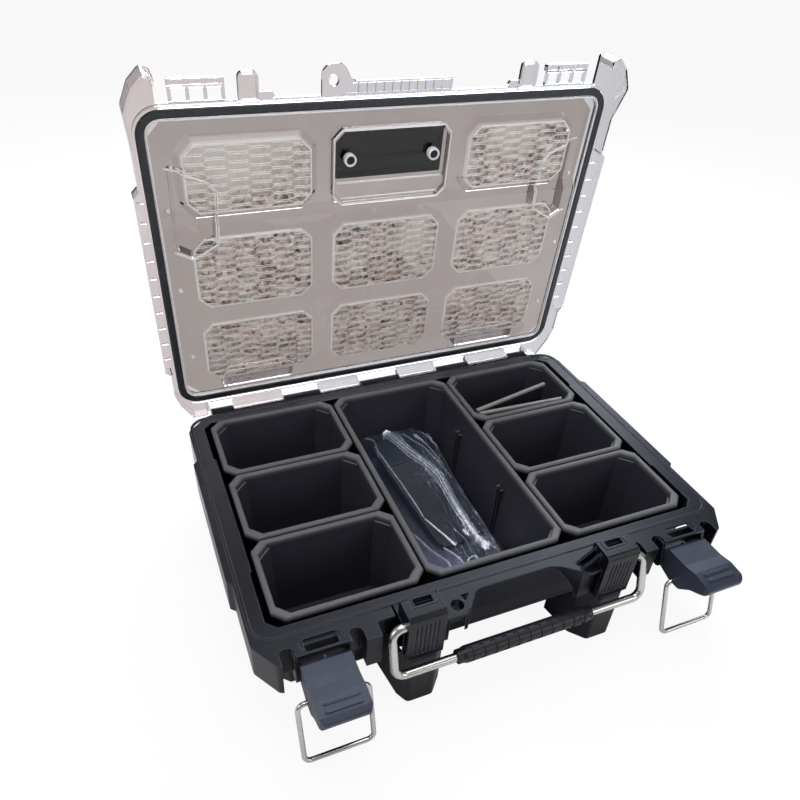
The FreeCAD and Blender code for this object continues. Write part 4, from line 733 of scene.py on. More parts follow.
@dataclass
class WindowRelief:
    """Patterned panes on the inner face of the lid's eight windows.

    Each window has a mottled pane, a bead round it and raised lines over it; bead and lines are
    painted pale as highlight. The lines run across in steps of 45 degrees, every second one half a
    period further on, so that they close into long hexagons.
    """

    hinge: Hinge
    windows: WindowRows
    pane_finish: Finish
    line_finish: Finish
    face: float = 0.1170
    sunk: float = 0.0003
    pane_rise: float = 0.00012
    line_rise: float = 0.00045
    bead: float = 0.0018
    line: float = 0.0010
    period: float = 0.0460
    step: float = 0.0026
    pitch: float = 0.0046

    NEAR = 1e-6
    BEAD_SHARE = 0.7

    def raise_faces(self, piece: bpy.types.Object, rise: float) -> bpy.types.Object:
        """Turn a flat sheet into a closed body that stands out from the lid's face.

        Args:
            piece: The flat sheet, sunk into the lid, in edit mode.
            rise: How far it stands out from the face.

        Returns:
            The piece, out of edit mode.
        """
        bpy.ops.mesh.select_all(action="SELECT")
        Workbench.extrude((0.0, 0.0, -self.sunk - rise))
        Workbench.close()
        return piece

    def sheet(self, centre: Point, size: Plane) -> bpy.types.Object:
        """A flat rectangle, left in edit mode.

        Args:
            centre: Its middle.
            size: Its width and depth.

        Returns:
            The sheet.
        """
        Workbench.clear()
        bpy.ops.mesh.primitive_plane_add(size=1.0, location=centre)
        piece = bpy.context.object
        piece.scale = (*size, 1.0)
        Workbench.settle(piece)
        bpy.ops.object.mode_set(mode="EDIT")
        return piece

    def strand(self, start_x: float, start_y: float, length: float) -> bpy.types.Object:
        """One stepped line, raised and closed.

        Args:
            start_x: Its left end.
            start_y: Its middle at the left end.
            length: Its length to the right.

        Returns:
            The line as an object.
        """
        run = self.period / 2 - self.step
        right = start_x + run
        piece = self.sheet((start_x + run / 2, start_y, self.face + self.sunk), (run, self.line))
        Workbench.pick(piece, "EDGE", lambda edge: all(
            abs(piece.data.vertices[i].co.x - right) < self.NEAR for i in edge.vertices))
        way = 1.0
        while right < start_x + length:
            for move in ((self.step, way * self.step, 0.0), (run, 0.0, 0.0)):
                Workbench.extrude(move)
                right += move[0]
            way = -way
        return self.raise_faces(piece, self.line_rise)

    def lines(self) -> bpy.types.Object:
        """All lines over the largest window, centred on the middle."""
        depth = max(back - front for front, back in self.windows.rows) + 2 * self.pitch
        width = 2 * self.windows.half_width + self.period
        strands = []
        for shift, first in ((0.0, 0.0), (self.period / 2, self.pitch)):
            strand = self.strand(-width / 2 - shift, -depth / 2 + first, width + 2 * shift)
            array = strand.modifiers.new("lines", "ARRAY")
            array.use_relative_offset = False
            array.use_constant_offset = True
            array.constant_offset_displace = (0.0, 2 * self.pitch, 0.0)
            array.count = int(depth / (2 * self.pitch)) + 1
            Workbench.apply_modifiers(strand)
            strands.append(strand)
        return Workbench.join(strands, "relief_lines")

    def trim(self, piece: bpy.types.Object, half: Plane) -> None:
        """Cut a sheet of lines to a window's outline.

        Args:
            piece: The sheet, centred on the middle.
            half: Half width and half depth of the window.
        """
        Workbench.take(piece)
        bpy.ops.object.mode_set(mode="EDIT")
        half_x, half_y = half
        slant = (half_x + half_y - self.windows.corner) / 2
        sides = [((half_x, 0.0), (1.0, 0.0)), ((-half_x, 0.0), (-1.0, 0.0)),
                 ((0.0, half_y), (0.0, 1.0)), ((0.0, -half_y), (0.0, -1.0))]
        sides += [((sx * slant, sy * slant), (sx, sy)) for sx in (-1.0, 1.0) for sy in (-1.0, 1.0)]
        for (x, y), (away_x, away_y) in sides:
            bpy.ops.mesh.select_all(action="SELECT")
            bpy.ops.mesh.bisect(plane_co=(x, y, self.face), plane_no=(away_x, away_y, 0.0),
                                use_fill=True, clear_outer=True)
        bpy.ops.object.mode_set(mode="OBJECT")

    def octagon(self, half: Plane) -> bpy.types.Object:
        """A flat sheet with cut corners, left in edit mode.

        Args:
            half: Half width and half depth.

        Returns:
            The sheet.
        """
        piece = self.sheet((0.0, 0.0, self.face + self.sunk), (2 * half[0], 2 * half[1]))
        bpy.ops.mesh.select_all(action="SELECT")
        bpy.ops.mesh.bevel(offset=self.windows.corner, segments=1, affect="VERTICES")
        return piece

    def pane(self, half: Plane) -> bpy.types.Object:
        """The mottled pane, of a given half width and half depth."""
        return self.raise_faces(self.octagon(half), self.pane_rise)

    def frame_bead(self, half: Plane) -> bpy.types.Object:
        """The bead round the pane.

        Args:
            half: Half width and half depth of its outside.

        Returns:
            The bead.
        """
        piece = self.octagon(half)
        bpy.ops.mesh.select_all(action="SELECT")
        bpy.ops.mesh.inset(thickness=self.bead, depth=0.0)
        bpy.ops.mesh.delete(type="FACE")
        return self.raise_faces(piece, self.line_rise)

    def place(self, pattern: bpy.types.Object, name: str, middle: Plane,
              finish: Finish) -> bpy.types.Object:
        """Copy a piece into one window and open it with the lid.

        Args:
            pattern: The piece, made about the middle.
            name: Name of the copy.
            middle: The window's middle, with the lid closed.
            finish: Its finish.

        Returns:
            The placed copy.
        """
        piece = Workbench.copy(pattern, name)
        finish.dress(piece)
        self.hinge.mount(piece, Matrix.Translation((*middle, 0.0)))
        return piece

    def build(self) -> List[bpy.types.Object]:
        """Make each row's pattern once and copy it into its windows."""
        lines = self.lines()
        pieces = []
        for row, (front, back) in enumerate(self.windows.rows):
            outer = (self.windows.half_width, (back - front) / 2)
            inner = tuple(length - self.bead * self.BEAD_SHARE for length in outer)
            raised = Workbench.copy(lines, "raised")
            self.trim(raised, inner)
            raised = Workbench.join([raised, self.frame_bead(outer)], "raised")
            pane = self.pane(inner)
            for number, x in enumerate(self.windows.columns(row)):
                tag = "_%d_%d" % (row + 1, number + 1)
                middle = (x, (front + back) / 2)
                pieces.append(self.place(raised, "window_lines" + tag, middle, self.line_finish))
                pieces.append(self.place(pane, "window_pane" + tag, middle, self.pane_finish))
            bpy.data.objects.remove(raised)
            bpy.data.objects.remove(pane)
        bpy.data.objects.remove(lines)
        return pieces


@dataclass(frozen=True)
class LidSkin:
    """Height of the closed lid's inner skin: its front pocket, its flat rear and its windows."""

    windows: WindowRows
    pad: float = 0.1170
    rear: float = 0.1185
    pocket: float = 0.1253
    pocket_rear: float = -0.0710
    pocket_slope: float = 0.0100

    def height(self, x: float, y: float) -> float:
        """Height of the skin over one place.

        Args:
            x: Place to the right.
            y: Place to the back.

        Returns:
            The height.
        """
        share = (self.pocket_rear + self.pocket_slope - y) / self.pocket_slope
        height = self.rear + (self.pocket - self.rear) * max(0.0, min(1.0, share))
        for row, (front, back) in enumerate(self.windows.rows):
            for column in self.windows.columns(row):
                off = max(abs(x - column) - self.windows.half_width, front - y, y - back, 0.0)
                height = min(height, self.pad + off)
        return height


@dataclass
class Bead:
    """Round bead along a route, made from one vertex."""

    finish: Finish
    radius: float

    def build(self, name: str, route: Sequence[Point]) -> bpy.types.Object:
        """Draw the route vertex by vertex and give it a round section.

        Args:
            name: Name of the bead.
            route: Points of its middle line.

        Returns:
            The bead as a closed mesh.
        """
        Workbench.clear()
        bpy.ops.mesh.primitive_plane_add(size=0.001, location=route[0])
        Workbench.settle(bpy.context.object)
        bpy.ops.object.mode_set(mode="EDIT")
        bpy.ops.mesh.select_mode(type="VERT")
        bpy.ops.mesh.select_all(action="SELECT")
        bpy.ops.mesh.merge(type="CENTER")
        for here, there in zip(route, route[1:]):
            Workbench.extrude(tuple(Vector(there) - Vector(here)))
        bpy.ops.object.mode_set(mode="OBJECT")
        bpy.ops.object.convert(target="CURVE")
        curve = bpy.context.object.data
        curve.bevel_depth = self.radius
        curve.bevel_resolution = 1
        curve.use_fill_caps = True
        bpy.ops.object.convert(target="MESH")
        piece = bpy.context.object
        piece.name = name
        Workbench.smooth(piece, 50.0)
        self.finish.dress(piece)
        return piece


def arc_corners(half: Plane, middle: Plane, radius: float, steps: int) -> List[Plane]:
    """Closed outline of a rectangle with round corners.

    Args:
        half: Half width and half depth.
        middle: Middle of the rectangle.
        radius: Radius of the corners.
        steps: Number of steps in each corner.

    Returns:
        The points, with the first one again at the end.
    """
    points = []
    for number, (way_x, way_y) in enumerate(((1, 1), (-1, 1), (-1, -1), (1, -1))):
        for step in range(steps + 1):
            angle = math.radians(90.0) * (number + step / steps)
            points.append((middle[0] + way_x * (half[0] - radius) + radius * math.cos(angle),
                           middle[1] + way_y * (half[1] - radius) + radius * math.sin(angle)))
    return points + points[:1]


@dataclass
class LidBeads:
    """Pale beads on the lid's inner side along its ribs and walls, painted pale as the highlight they
    catch.
    """

    hinge: Hinge
    skin: LidSkin
    finish: Finish
    spacing: float = 0.004
    front_guide: Tuple[Plane, ...] = (
        (0.2450, -0.1225), (0.2290, -0.1185), (0.2045, -0.1080), (0.1970, -0.0980), (0.1995, -0.0385),
        (0.2285, -0.0225), (0.2460, -0.0330))
    rear_guide: Tuple[Plane, ...] = (
        (0.2060, 0.1630), (0.2110, 0.1580), (0.2110, 0.1420), (0.2060, 0.1370), (0.1250, 0.1370),
        (0.1200, 0.1420), (0.1200, 0.1580), (0.1250, 0.1630), (0.2060, 0.1630))
    wall: float = 0.0024
    ticks: Tuple[float, ...] = (0.1390, 0.1600, 0.1810)
    tick_ends: Plane = (0.1300, 0.1480)
    pegs: Tuple[Plane, ...] = ((0.2480, -0.0783), (0.2480, 0.0140), (0.2450, 0.1074))
    peg_ends: Plane = (0.0004, -0.0012)
    radii: Point = (0.0008, 0.0011, 0.0024)
    rings: Tuple[Tuple[str, Plane, Plane, float, int, float], ...] = (
        ("channel_bead", (0.2588, 0.1698), (0.0, -0.00245), 0.0120, 6, 0.1170),
        ("label_bead", (0.0688, 0.0408), (0.0, -0.1110), 0.0090, 1, 0.1172))
    bars: Tuple[Tuple[str, float, float], ...] = (
        ("shelf_bead", 0.0640, -0.0925), ("rim_bead", 0.0600, -0.0745))
    bar_height: float = 0.1222

    def on_skin(self, route: Sequence[Plane], side: float) -> List[Point]:
        """Follow a route along the skin.

        Args:
            route: Places on the plan.
            side: 1 for the right side and -1 for the left.

        Returns:
            Points on the skin, close enough to follow its steps.
        """
        points = []
        for (x, y), (next_x, next_y) in zip(route, route[1:]):
            count = max(1, round(math.hypot(next_x - x, next_y - y) / self.spacing))
            for number in range(count):
                share = number / count
                here = (side * (x + (next_x - x) * share), y + (next_y - y) * share)
                points.append((*here, self.skin.height(*here)))
        here = (side * route[-1][0], route[-1][1])
        return points + [(*here, self.skin.height(*here))]

    def build(self) -> List[bpy.types.Object]:
        """Make every bead on the closed lid and open it with the lid."""
        pieces = []
        thin, thick, peg = (Bead(self.finish, radius) for radius in self.radii)
        for side, tag in ((1.0, "right"), (-1.0, "left")):
            for width, part in ((0.0, "outer"), (self.wall, "inner")):
                moved = [(x + width, y) for x, y in self.front_guide]
                pieces.append(thin.build("guide_bead_%s_%s" % (part, tag), self.on_skin(moved, side)))
            pieces.append(thin.build("rear_bead_" + tag, self.on_skin(self.rear_guide, side)))
            for number, x in enumerate(self.ticks):
                tick = self.on_skin([(x, y) for y in self.tick_ends], side)
                pieces.append(thin.build("tick_%d_%s" % (number + 1, tag), tick))
            for number, (x, y) in enumerate(self.pegs):
                height = self.skin.height(x, y)
                pieces.append(peg.build("peg_%d_%s" % (number + 1, tag), [
                    (side * x, y, height + end) for end in self.peg_ends]))
        for name, half, middle, radius, steps, height in self.rings:
            outline = arc_corners(half, middle, radius, steps)
            pieces.append(thick.build(name, [(x, y, height) for x, y in outline]))
        for name, half, y in self.bars:
            pieces.append(thick.build(name, [(x, y, self.bar_height) for x in (-half, half)]))
        for piece in pieces:
            self.hinge.mount(piece)
        return pieces


@dataclass
class LeverMarks:
    """Two raised round bars on the finger end of each lever."""

    finish: Finish
    column: float = 0.2065
    bars: Tuple[Plane, ...] = ((-0.2530, 0.1106), (-0.2605, 0.1099))
    half: float = 0.0165
    radius: float = 0.0017

    def build(self) -> List[bpy.types.Object]:
        """Make one lever's bars and copy them to both levers."""
        bead = Bead(self.finish, self.radius)
        bars = [bead.build("bar", [(-self.half, y, z), (self.half, y, z)]) for y, z in self.bars]
        marks = Workbench.join(bars, "lever_marks")
        pieces = []
        for side, tag in ((-1.0, "left"), (1.0, "right")):
            piece = Workbench.copy(marks, "lever_marks_" + tag)
            Workbench.settle(piece, Matrix.Translation((side * self.column, 0.0, 0.0)))
            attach(piece, "lever_" + tag)
            pieces.append(piece)
        bpy.data.objects.remove(marks)
        return pieces


@dataclass
class StudCollars:
    """Pale rings round the two bosses that hold the label's studs, painted pale as the bosses' highlight.
    """

    hinge: Hinge
    finish: Finish
    place: Plane = (0.0500, -0.1194)
    inside: float = 0.0046
    outside: float = 0.0069
    low: float = 0.1162
    height: float = 0.0075
    rounding: float = 0.0006

    def build(self) -> List[bpy.types.Object]:
        """Spin one ring and copy it to the other side."""
        Workbench.clear()
        bpy.ops.mesh.primitive_circle_add(vertices=40, radius=self.outside, fill_type="NGON",
                                          location=(*self.place, self.low))
        ring = bpy.context.object
        Workbench.settle(ring)
        bpy.ops.object.mode_set(mode="EDIT")
        bpy.ops.mesh.select_all(action="SELECT")
        bpy.ops.mesh.inset(thickness=self.outside - self.inside, depth=0.0)
        bpy.ops.mesh.delete(type="FACE")
        bpy.ops.mesh.select_all(action="SELECT")
        Workbench.extrude((0.0, 0.0, self.height))
        Workbench.close()
        rounding = ring.modifiers.new("rounding", "BEVEL")
        rounding.width = self.rounding
        rounding.segments = 2
        rounding.angle_limit = math.radians(50.0)
        Workbench.apply_modifiers(ring)
        twin = Workbench.copy(ring, "stud_collar_left")
        Workbench.settle(twin, Matrix.Translation((-2.0 * self.place[0], 0.0, 0.0)))
        ring.name = "stud_collar_right"
        for piece in (ring, twin):
            Workbench.smooth(piece, 40.0)
            self.finish.dress(piece)
            self.hinge.mount(piece)
        return [ring, twin]


@dataclass(frozen=True)
class Crease:
    """A fold of the film: its route on the plan, and its half width, height and whiteness, a painted
    highlight.

    The half width and the whiteness are given for both ends.
    """

    route: Tuple[Plane, ...]
    width: Plane
    shine: Plane
    rise: float = 0.001
    lines: int = 0

    STEPS = 8

    def curve(self) -> numpy.ndarray:
        """Points of a smooth curve through the route."""
        ends = numpy.array((self.route[0],) + self.route + (self.route[-1],))
        share = numpy.linspace(0.0, 1.0, self.STEPS + 1)[:-1, None]
        pieces = []
        for before, first, last, after in zip(ends, ends[1:], ends[2:], ends[3:]):
            pieces.append(0.5 * (2 * first + (last - before) * share
                                 + (2 * before - 5 * first + 4 * last - after) * share ** 2
                                 + (3 * first - before - 3 * last + after) * share ** 3))
        return numpy.vstack(pieces + [ends[-1:]])

    def measure(self, places: numpy.ndarray) -> Tuple[numpy.ndarray, numpy.ndarray]:
        """Height that the fold gives to places on the plan, and its painted highlight there.

        Args:
            places: Places as rows of two numbers.

        Returns:
            Heights and painted highlight strengths.
        """
        curve = self.curve()
        nearest = numpy.full(len(places), 1.0)
        share = numpy.zeros(len(places))
        for number, (first, last) in enumerate(zip(curve, curve[1:])):
            way = last - first
            along = numpy.clip((places - first) @ way / (way @ way), 0.0, 1.0)
            off = numpy.hypot(*(places - first - along[:, None] * way).T)
            closer = off < nearest
            nearest[closer] = off[closer]
            share[closer] = (number + along[closer]) / (len(curve) - 1)
        width = self.width[0] + (self.width[1] - self.width[0]) * share
        shine = self.shine[0] + (self.shine[1] - self.shine[0]) * share
        taper = numpy.clip(numpy.minimum(share, 1.0 - share) * 8.0 + 0.35, 0.0, 1.0)
        body = numpy.exp(-(nearest / (width * taper)) ** 2)
        if self.lines:
            comb = numpy.cos(nearest / width * math.pi * self.lines) ** 6
            white = body ** 0.5 * (0.35 + 0.65 * comb) * (nearest < width * 1.15)
        else:
            white = body
        return self.rise * body, shine * white


@dataclass
class FilmBag:
    """Clear crumpled bag that lies over the spare panel."""

    finish: Finish
    floor: float = 0.0052
    half_width: float = 0.0665
    front: float = -0.1440
    rear: float = 0.1440
    panel_centre: Plane = (0.0130, 0.0460)
    panel_reach: float = 0.0362
    panel_turn: float = math.radians(9.3)
    panel_top: float = 0.0326
    panel_slope: float = 0.1944
    panel_front: float = -0.0530
    panel_gap: float = 0.0012
    nose: Plane = (-0.030, 0.034)
    nose_height: float = 0.0100
    columns: int = 150
    lengths: int = 300
    hem: float = 0.002
    thinnest: float = 0.0008
    side_fall: float = 0.006
    front_fall: float = 0.010
    rear_fall: float = 0.004
    rear_start: float = 0.4
    crumples: Point = (0.0016, 0.0010, 0.0004)

    # Point attribute that carries the painted highlight along the folds.
    MARK = "fold"
    CREASES = (
        Crease(((-0.008, 0.143), (0.010, 0.105), (0.033, 0.058), (0.036, 0.001), (0.043, -0.059)),
               (0.0074, 0.0056), (0.50, 0.90), 0.0040, 2),
        Crease(((0.034, 0.020), (0.037, -0.020), (0.043, -0.056)), (0.0022, 0.0040), (0.5, 1.0), 0.001),
        Crease(((0.040, -0.050), (0.047, -0.060), (0.043, -0.070)), (0.0060, 0.0052), (1.0, 1.0), 0.002),
        Crease(((-0.012, 0.141), (-0.003, 0.137)), (0.0040, 0.0030), (0.95, 0.8), 0.002),
        Crease(((-0.032, 0.120), (-0.019, 0.052), (-0.012, -0.006)), (0.0010, 0.0010), (0.45, 0.65)),
        Crease(((-0.012, -0.006), (0.003, -0.035), (0.011, -0.052)), (0.0012, 0.0019), (0.85, 1.0)),
        Crease(((0.006, 0.140), (0.023, 0.063), (0.034, 0.006)), (0.0009, 0.0009), (0.30, 0.45)),
        Crease(((0.014, 0.136), (0.036, 0.100), (0.052, 0.044)), (0.0010, 0.0008), (0.40, 0.50), 0.002),
        Crease(((0.030, 0.128), (0.044, 0.105), (0.052, 0.074)), (0.0034, 0.0020), (0.75, 0.55), 0.002, 3),
        Crease(((0.046, 0.138), (0.060, 0.118), (0.065, 0.061), (0.064, 0.030)), (0.0009, 0.0009),
               (0.55, 0.35), 0.002),
        Crease(((0.052, 0.035), (0.058, 0.000), (0.061, -0.030), (0.064, -0.072)), (0.0008, 0.0008),
               (0.45, 0.30)),
        Crease(((-0.034, -0.020), (-0.022, -0.050), (-0.010, -0.078), (-0.022, -0.098)),
               (0.0014, 0.0010), (0.45, 0.65), 0.003),
        Crease(((-0.006, -0.052), (0.004, -0.070), (0.008, -0.092)), (0.0013, 0.0011), (0.6, 0.85), 0.003),
        Crease(((0.008, -0.092), (0.016, -0.078), (0.027, -0.078), (0.024, -0.098)), (0.0010, 0.0012),
               (0.85, 0.65), 0.002),
        Crease(((0.018, -0.030), (0.026, -0.048), (0.024, -0.070)), (0.0009, 0.0007), (0.5, 0.3)),
        Crease(((0.030, -0.034), (0.033, -0.044)), (0.0022, 0.0014), (0.95, 0.8), 0.001),
        Crease(((0.050, -0.060), (0.060, -0.080), (0.052, -0.104)), (0.0010, 0.0010), (0.6, 0.4), 0.002),
        Crease(((-0.040, 0.138), (-0.030, 0.128), (-0.034, 0.100)), (0.0010, 0.0010), (0.40, 0.30), 0.002),
    )

    def lift(self, x: float, y: float) -> float:
        """How high the panel holds the film over one place.

        Args:
            x: Place to the right.
            y: Place to the back.

        Returns:
            Height above the bag's floor.
        """
        ahead = max(0.0, min(1.0, (self.panel_front - y) / (self.panel_front - self.front)))
        on_panel = max(y, self.panel_front)
        dy = on_panel - self.panel_centre[1]
        axis = self.panel_centre[0] - dy * math.tan(self.panel_turn)
        left = (axis - self.panel_reach) * (1.0 - ahead) + self.nose[0] * ahead
        right = (axis + self.panel_reach) * (1.0 - ahead) + self.nose[1] * ahead
        held = max(left, min(right, x)) - self.panel_centre[0]
        along = dy * math.cos(self.panel_turn) - held * math.sin(self.panel_turn)
        top = self.panel_top + self.panel_slope * along + self.panel_gap
        top = top * (1.0 - ahead) + self.nose_height * ahead
        past = max((x - right) / (self.half_width - right), (left - x) / (left + self.half_width), 0.0)
        side = 0.5 + 0.1 * (y - self.front) / (self.rear - self.front)
        return (top - self.floor) * (side + (1.0 - side) * (1.0 - min(1.0, past)) ** 1.4)

    def height(self, x: float, y: float, folds: float) -> float:
        """Top of the film over one place.

        Args:
            x: Place to the right.
            y: Place to the back.
            folds: Height that the marked folds add.

        Returns:
            Height above the bag's floor.
        """
        border = min((self.half_width - abs(x)) / self.side_fall,
                     (y - self.front) / self.front_fall,
                     (self.rear - y) / self.rear_fall + self.rear_start)
        border = max(0.0, min(1.0, border))
        return (self.lift(x, y) + self.crumple(x, y) + folds) * border ** 0.5

    def crumple(self, x: float, y: float) -> float:
        """Small random folds of the film.

        Args:
            x: Place to the right.
            y: Place to the back.

        Returns:
            Height of the folds there.
        """
        bend = 0.012 * noise.noise(Vector((x * 11.0, y * 9.0, 3.1)))
        long_fold = 1.0 - abs(noise.noise(Vector(((x + bend) * 42.0 + y * 9.0, y * 8.0, 1.7)))) * 2.2
        cross_fold = 1.0 - abs(noise.noise(Vector((x * 16.0 - y * 12.0, (y + bend) * 30.0, 5.3)))) * 2.4
        small = 1.0 - abs(noise.noise(Vector((x * 90.0, y * 70.0, 8.9)))) * 2.0
        folded = self.crumples[0] * max(0.0, long_fold) + self.crumples[1] * max(0.0, cross_fold)
        return folded + self.crumples[2] * small

    def build(self) -> bpy.types.Object:
        """Shape the film from a flat sheet and let it stand for the bag's solid."""
        Workbench.clear()
        bpy.ops.mesh.primitive_grid_add(x_subdivisions=self.columns, y_subdivisions=self.lengths,
                                        size=1.0, location=(0.0, 0.0, 0.0))
        piece = bpy.context.object
        piece.name = "film_bag"
        piece.scale = (2 * self.half_width, self.rear - self.front, 1.0)
        piece.location = (0.0, (self.front + self.rear) / 2, self.floor + self.hem)
        Workbench.settle(piece)
        bpy.ops.object.mode_set(mode="EDIT")
        bpy.ops.mesh.select_all(action="SELECT")
        bpy.ops.mesh.region_to_loop()
        bpy.ops.mesh.extrude_edges_move(TRANSFORM_OT_translate={"value": (0.0, 0.0, -self.hem)})
        bpy.ops.mesh.edge_face_add()
        Workbench.close()
        mark = piece.data.attributes.new(self.MARK, "FLOAT", "POINT")
        places = numpy.array([vertex.co.xy for vertex in piece.data.vertices])
        measures = [crease.measure(places) for crease in self.CREASES]
        folds = sum(rise for rise, white in measures)
        whites = numpy.maximum.reduce([white for rise, white in measures])
        for vertex in piece.data.vertices:
            if vertex.co.z > self.floor + self.hem / 2:
                height = self.height(vertex.co.x, vertex.co.y, float(folds[vertex.index]))
                vertex.co.z = self.floor + max(self.thinnest, height)
                # Store the painted highlight of the folds.
                mark.data[vertex.index].value = float(whites[vertex.index])
        Workbench.smooth(piece, 40.0)
        self.finish.dress(piece)
        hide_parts("spares_bag")
        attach(piece, "bag")
        return piece


# Studio

@dataclass
class Studio:
    """Pale floor, white surroundings, soft lamps and the photograph's camera."""

    camera_place: Point = (-0.3111, -0.5651, 0.6612)
    azimuth: float = math.radians(-24.31)
    elevation: float = math.radians(38.75)
    roll: float = math.radians(3.41)
    lens: float = 31.47
    sensor: float = 36.0
    shift: Plane = (0.0052, 0.0491)
    floor_half: float = 40.0
    floor_colour: Colour = (0.88, 0.88, 0.88)
    floor_glow: float = 0.91
    floor_drop: float = 0.0002
    surround: float = 0.34

    def camera(self) -> None:
        """Camera at the photograph's place and angle."""
        level = Vector((math.cos(self.azimuth), math.sin(self.azimuth), 0.0))
        ahead = Vector((-math.sin(self.azimuth) * math.cos(self.elevation),
                        math.cos(self.azimuth) * math.cos(self.elevation), -math.sin(self.elevation)))
        rise = level.cross(ahead)
        right = math.cos(self.roll) * level + math.sin(self.roll) * rise
        top = -math.sin(self.roll) * level + math.cos(self.roll) * rise
        data = bpy.data.cameras.new("camera")
        data.lens = self.lens
        data.sensor_width = self.sensor
        data.shift_x, data.shift_y = self.shift
        data.clip_start = 0.01
        camera = bpy.data.objects.new("camera", data)
        bpy.context.scene.collection.objects.link(camera)
        turn = Matrix((right, top, -ahead)).transposed().to_4x4()
        camera.matrix_world = Matrix.Translation(self.camera_place) @ turn
        bpy.context.scene.camera = camera

    def lamp(self, name: str, place: Point, size: Plane, power: float,
             colour: Colour = (1.0, 1.0, 1.0)) -> None:
        """One soft panel that looks at the case.

        Args:
            name: Name of the lamp.
            place: Its place.
            size: Width and height of the panel.
            power: Power in watts.
            colour: Colour of the light.
        """
        data = bpy.data.lights.new(name, "AREA")
        data.shape = "RECTANGLE"
        data.size, data.size_y = size
        data.energy = power
        data.color = colour
        lamp = bpy.data.objects.new(name, data)
        bpy.context.scene.collection.objects.link(lamp)
        toward = Vector((0.0, 0.0, 0.1)) - Vector(place)
        turn = toward.to_track_quat("-Z", "Y").to_matrix().to_4x4()
        lamp.matrix_world = Matrix.Translation(place) @ turn

    @staticmethod
    def seen_rays(tree: ShaderTree) -> Signal:
        """One where a camera or glass ray looks, and zero for the light itself."""
        camera = tree.node("ShaderNodeLightPath", output="Is Camera Ray")
        glass = tree.node("ShaderNodeLightPath", output="Is Transmission Ray")
        return tree.node("ShaderNodeClamp", {}, {"Value": camera + glass})

    def world(self) -> None:
        """White surroundings to look at, and a softer level for the light."""
        world = bpy.data.worlds.new("surroundings")
        world.use_nodes = True
        bpy.context.scene.world = world
        tree = ShaderTree(world.node_tree)
        strength = self.surround + self.seen_rays(tree) * (1.0 - self.surround)
        sky = tree.node("ShaderNodeBackground", {}, {"Color": (1.0, 1.0, 1.0), "Strength": strength})
        tree.node("ShaderNodeOutputWorld", {}, {"Surface": sky})

    def floor(self) -> None:
        """Wide pale floor that keeps a soft shadow."""
        Workbench.clear()
        bpy.ops.mesh.primitive_plane_add(size=2 * self.floor_half, location=(0.0, 0.0, -self.floor_drop))
        floor = bpy.context.object
        floor.name = "floor"
        material = bpy.data.materials.new("floor")
        material.use_nodes = True
        tree = ShaderTree(material.node_tree)
        matte = tree.node("ShaderNodeBsdfDiffuse", {}, {"Color": self.floor_colour})
        glow = tree.node("ShaderNodeEmission", {}, {"Color": (1.0, 1.0, 1.0), "Strength": 1.0})
        mixed = tree.node("ShaderNodeMixShader", {}, {
            0: self.seen_rays(tree) * self.floor_glow, 1: matte, 2: glow})
        tree.node("ShaderNodeOutputMaterial", {}, {"Surface": mixed})
        floor.data.materials.append(material)

    def build(self) -> None:
        """Set up the whole studio."""
        scene = bpy.context.scene
        scene.view_settings.view_transform = "Standard"
        scene.cycles.transparent_max_bounces = 24
        self.world()
        self.floor()
        self.lamp("window", (0.50, 1.15, 1.25), (1.6, 0.9), 40.0, (0.80, 0.89, 1.0))
        self.lamp("overhead", (-0.1, -0.1, 1.6), (1.2, 0.9), 14.0, (0.97, 0.98, 1.0))
        self.lamp("left", (-1.5, -0.2, 1.1), (0.8, 0.9), 6.0)
        self.lamp("front", (0.9, -1.5, 0.9), (1.0, 0.8), 7.0)
        self.camera()


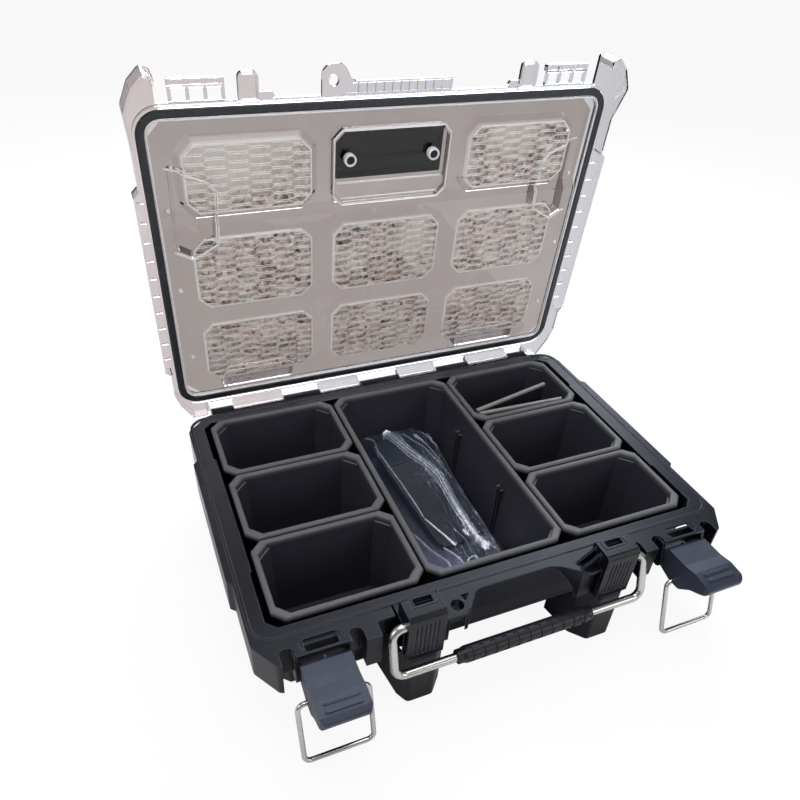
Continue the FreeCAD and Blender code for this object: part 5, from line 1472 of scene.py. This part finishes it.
@dataclass
class Wardrobe:
    """Finishes of the CAD nodes, by the record's material slot."""

    finishes: Dict[str, Finish]

    @classmethod
    def standard(cls, hinge: Hinge, windows: WindowRows) -> "Wardrobe":
        """The case's own finishes.

        Args:
            hinge: The lid's hinge.
            windows: The lid's windows.

        Returns:
            The wardrobe.
        """
        finishes = [
            # The edge colours of base_black and lever_grey are painted highlights along the edges.
            MouldedPlastic("base_black", (0.0026, 0.0028, 0.0052), (0.0070, 0.0076, 0.0135), 0.32,
                           gloss=0.20, rounding=0.0013, edge=(0.130, 0.140, 0.185)),
            SteelWire("stainless_wire"),
            LidPlastic("clear_lid", hinge, windows),
            Rubber("gasket_rubber"),
            MouldedPlastic("label_black", (0.006, 0.006, 0.007), (0.012, 0.012, 0.014), 0.30, 1400.0,
                           0.00001, 0.25),
            MouldedPlastic("grip_black", (0.006, 0.006, 0.009), (0.015, 0.015, 0.020), 0.36, gloss=0.3),
            MouldedPlastic("lever_grey", (0.010, 0.013, 0.026), (0.046, 0.053, 0.082), 0.46, 520.0,
                           0.00030, 0.3, edge=(0.120, 0.130, 0.165)),
            # The bins' and dividers' rim colours are painted highlight and their wall colours painted
            # shade.
            BinPlastic("bin_grey", (0.0270, 0.0275, 0.0400), (0.100, 0.100, 0.107)),
            BinPlastic("divider_grey", (0.013, 0.013, 0.017), (0.235, 0.234, 0.236), 0.1078, 0.1088),
            Film("clear_film"),
            PanelPlastic("panel_black", (0.003, 0.007, 0.014), (0.016, 0.016, 0.020), 0.094),
        ]
        return cls({finish.slot: finish for finish in finishes})

    def dress_nodes(self) -> None:
        """Put each CAD node's finish on it."""
        slots = {part["node"]: part["material_slot"] for part in frame["record"]["subparts"]}
        for name, node in frame["nodes"].items():
            self.finishes[slots[name]].dress(node)


def main() -> None:
    """Build the studio, dress the CAD nodes and add the scene's own pieces."""
    logging.basicConfig(level=logging.INFO, format="%(name)s: %(message)s")
    Studio().build()
    LOG.info("studio ready")
    hinge, rows = Hinge(), WindowRows()
    wardrobe = Wardrobe.standard(hinge, rows)
    wardrobe.dress_nodes()
    LOG.info("dressed %d nodes", len(frame["nodes"]))
    windows = WindowRelief(hinge, rows, PatternedPane("patterned_pane", hinge),
                           PaleLine("window_lines", clear=0.25)).build()
    LOG.info("%d window pieces", len(windows))
    collars = StudCollars(hinge, PaleLine("raised_lines")).build()
    LOG.info("%d collars", len(collars))
    beads = LidBeads(hinge, LidSkin(rows), PaleLine("raised_lines")).build()
    beads += LeverMarks(wardrobe.finishes["lever_grey"]).build()
    LOG.info("%d beads", len(beads))
    bag = FilmBag(wardrobe.finishes["clear_film"]).build()
    LOG.info("bag with %d faces", len(bag.data.polygons))


if __name__ == "__main__":
    main()
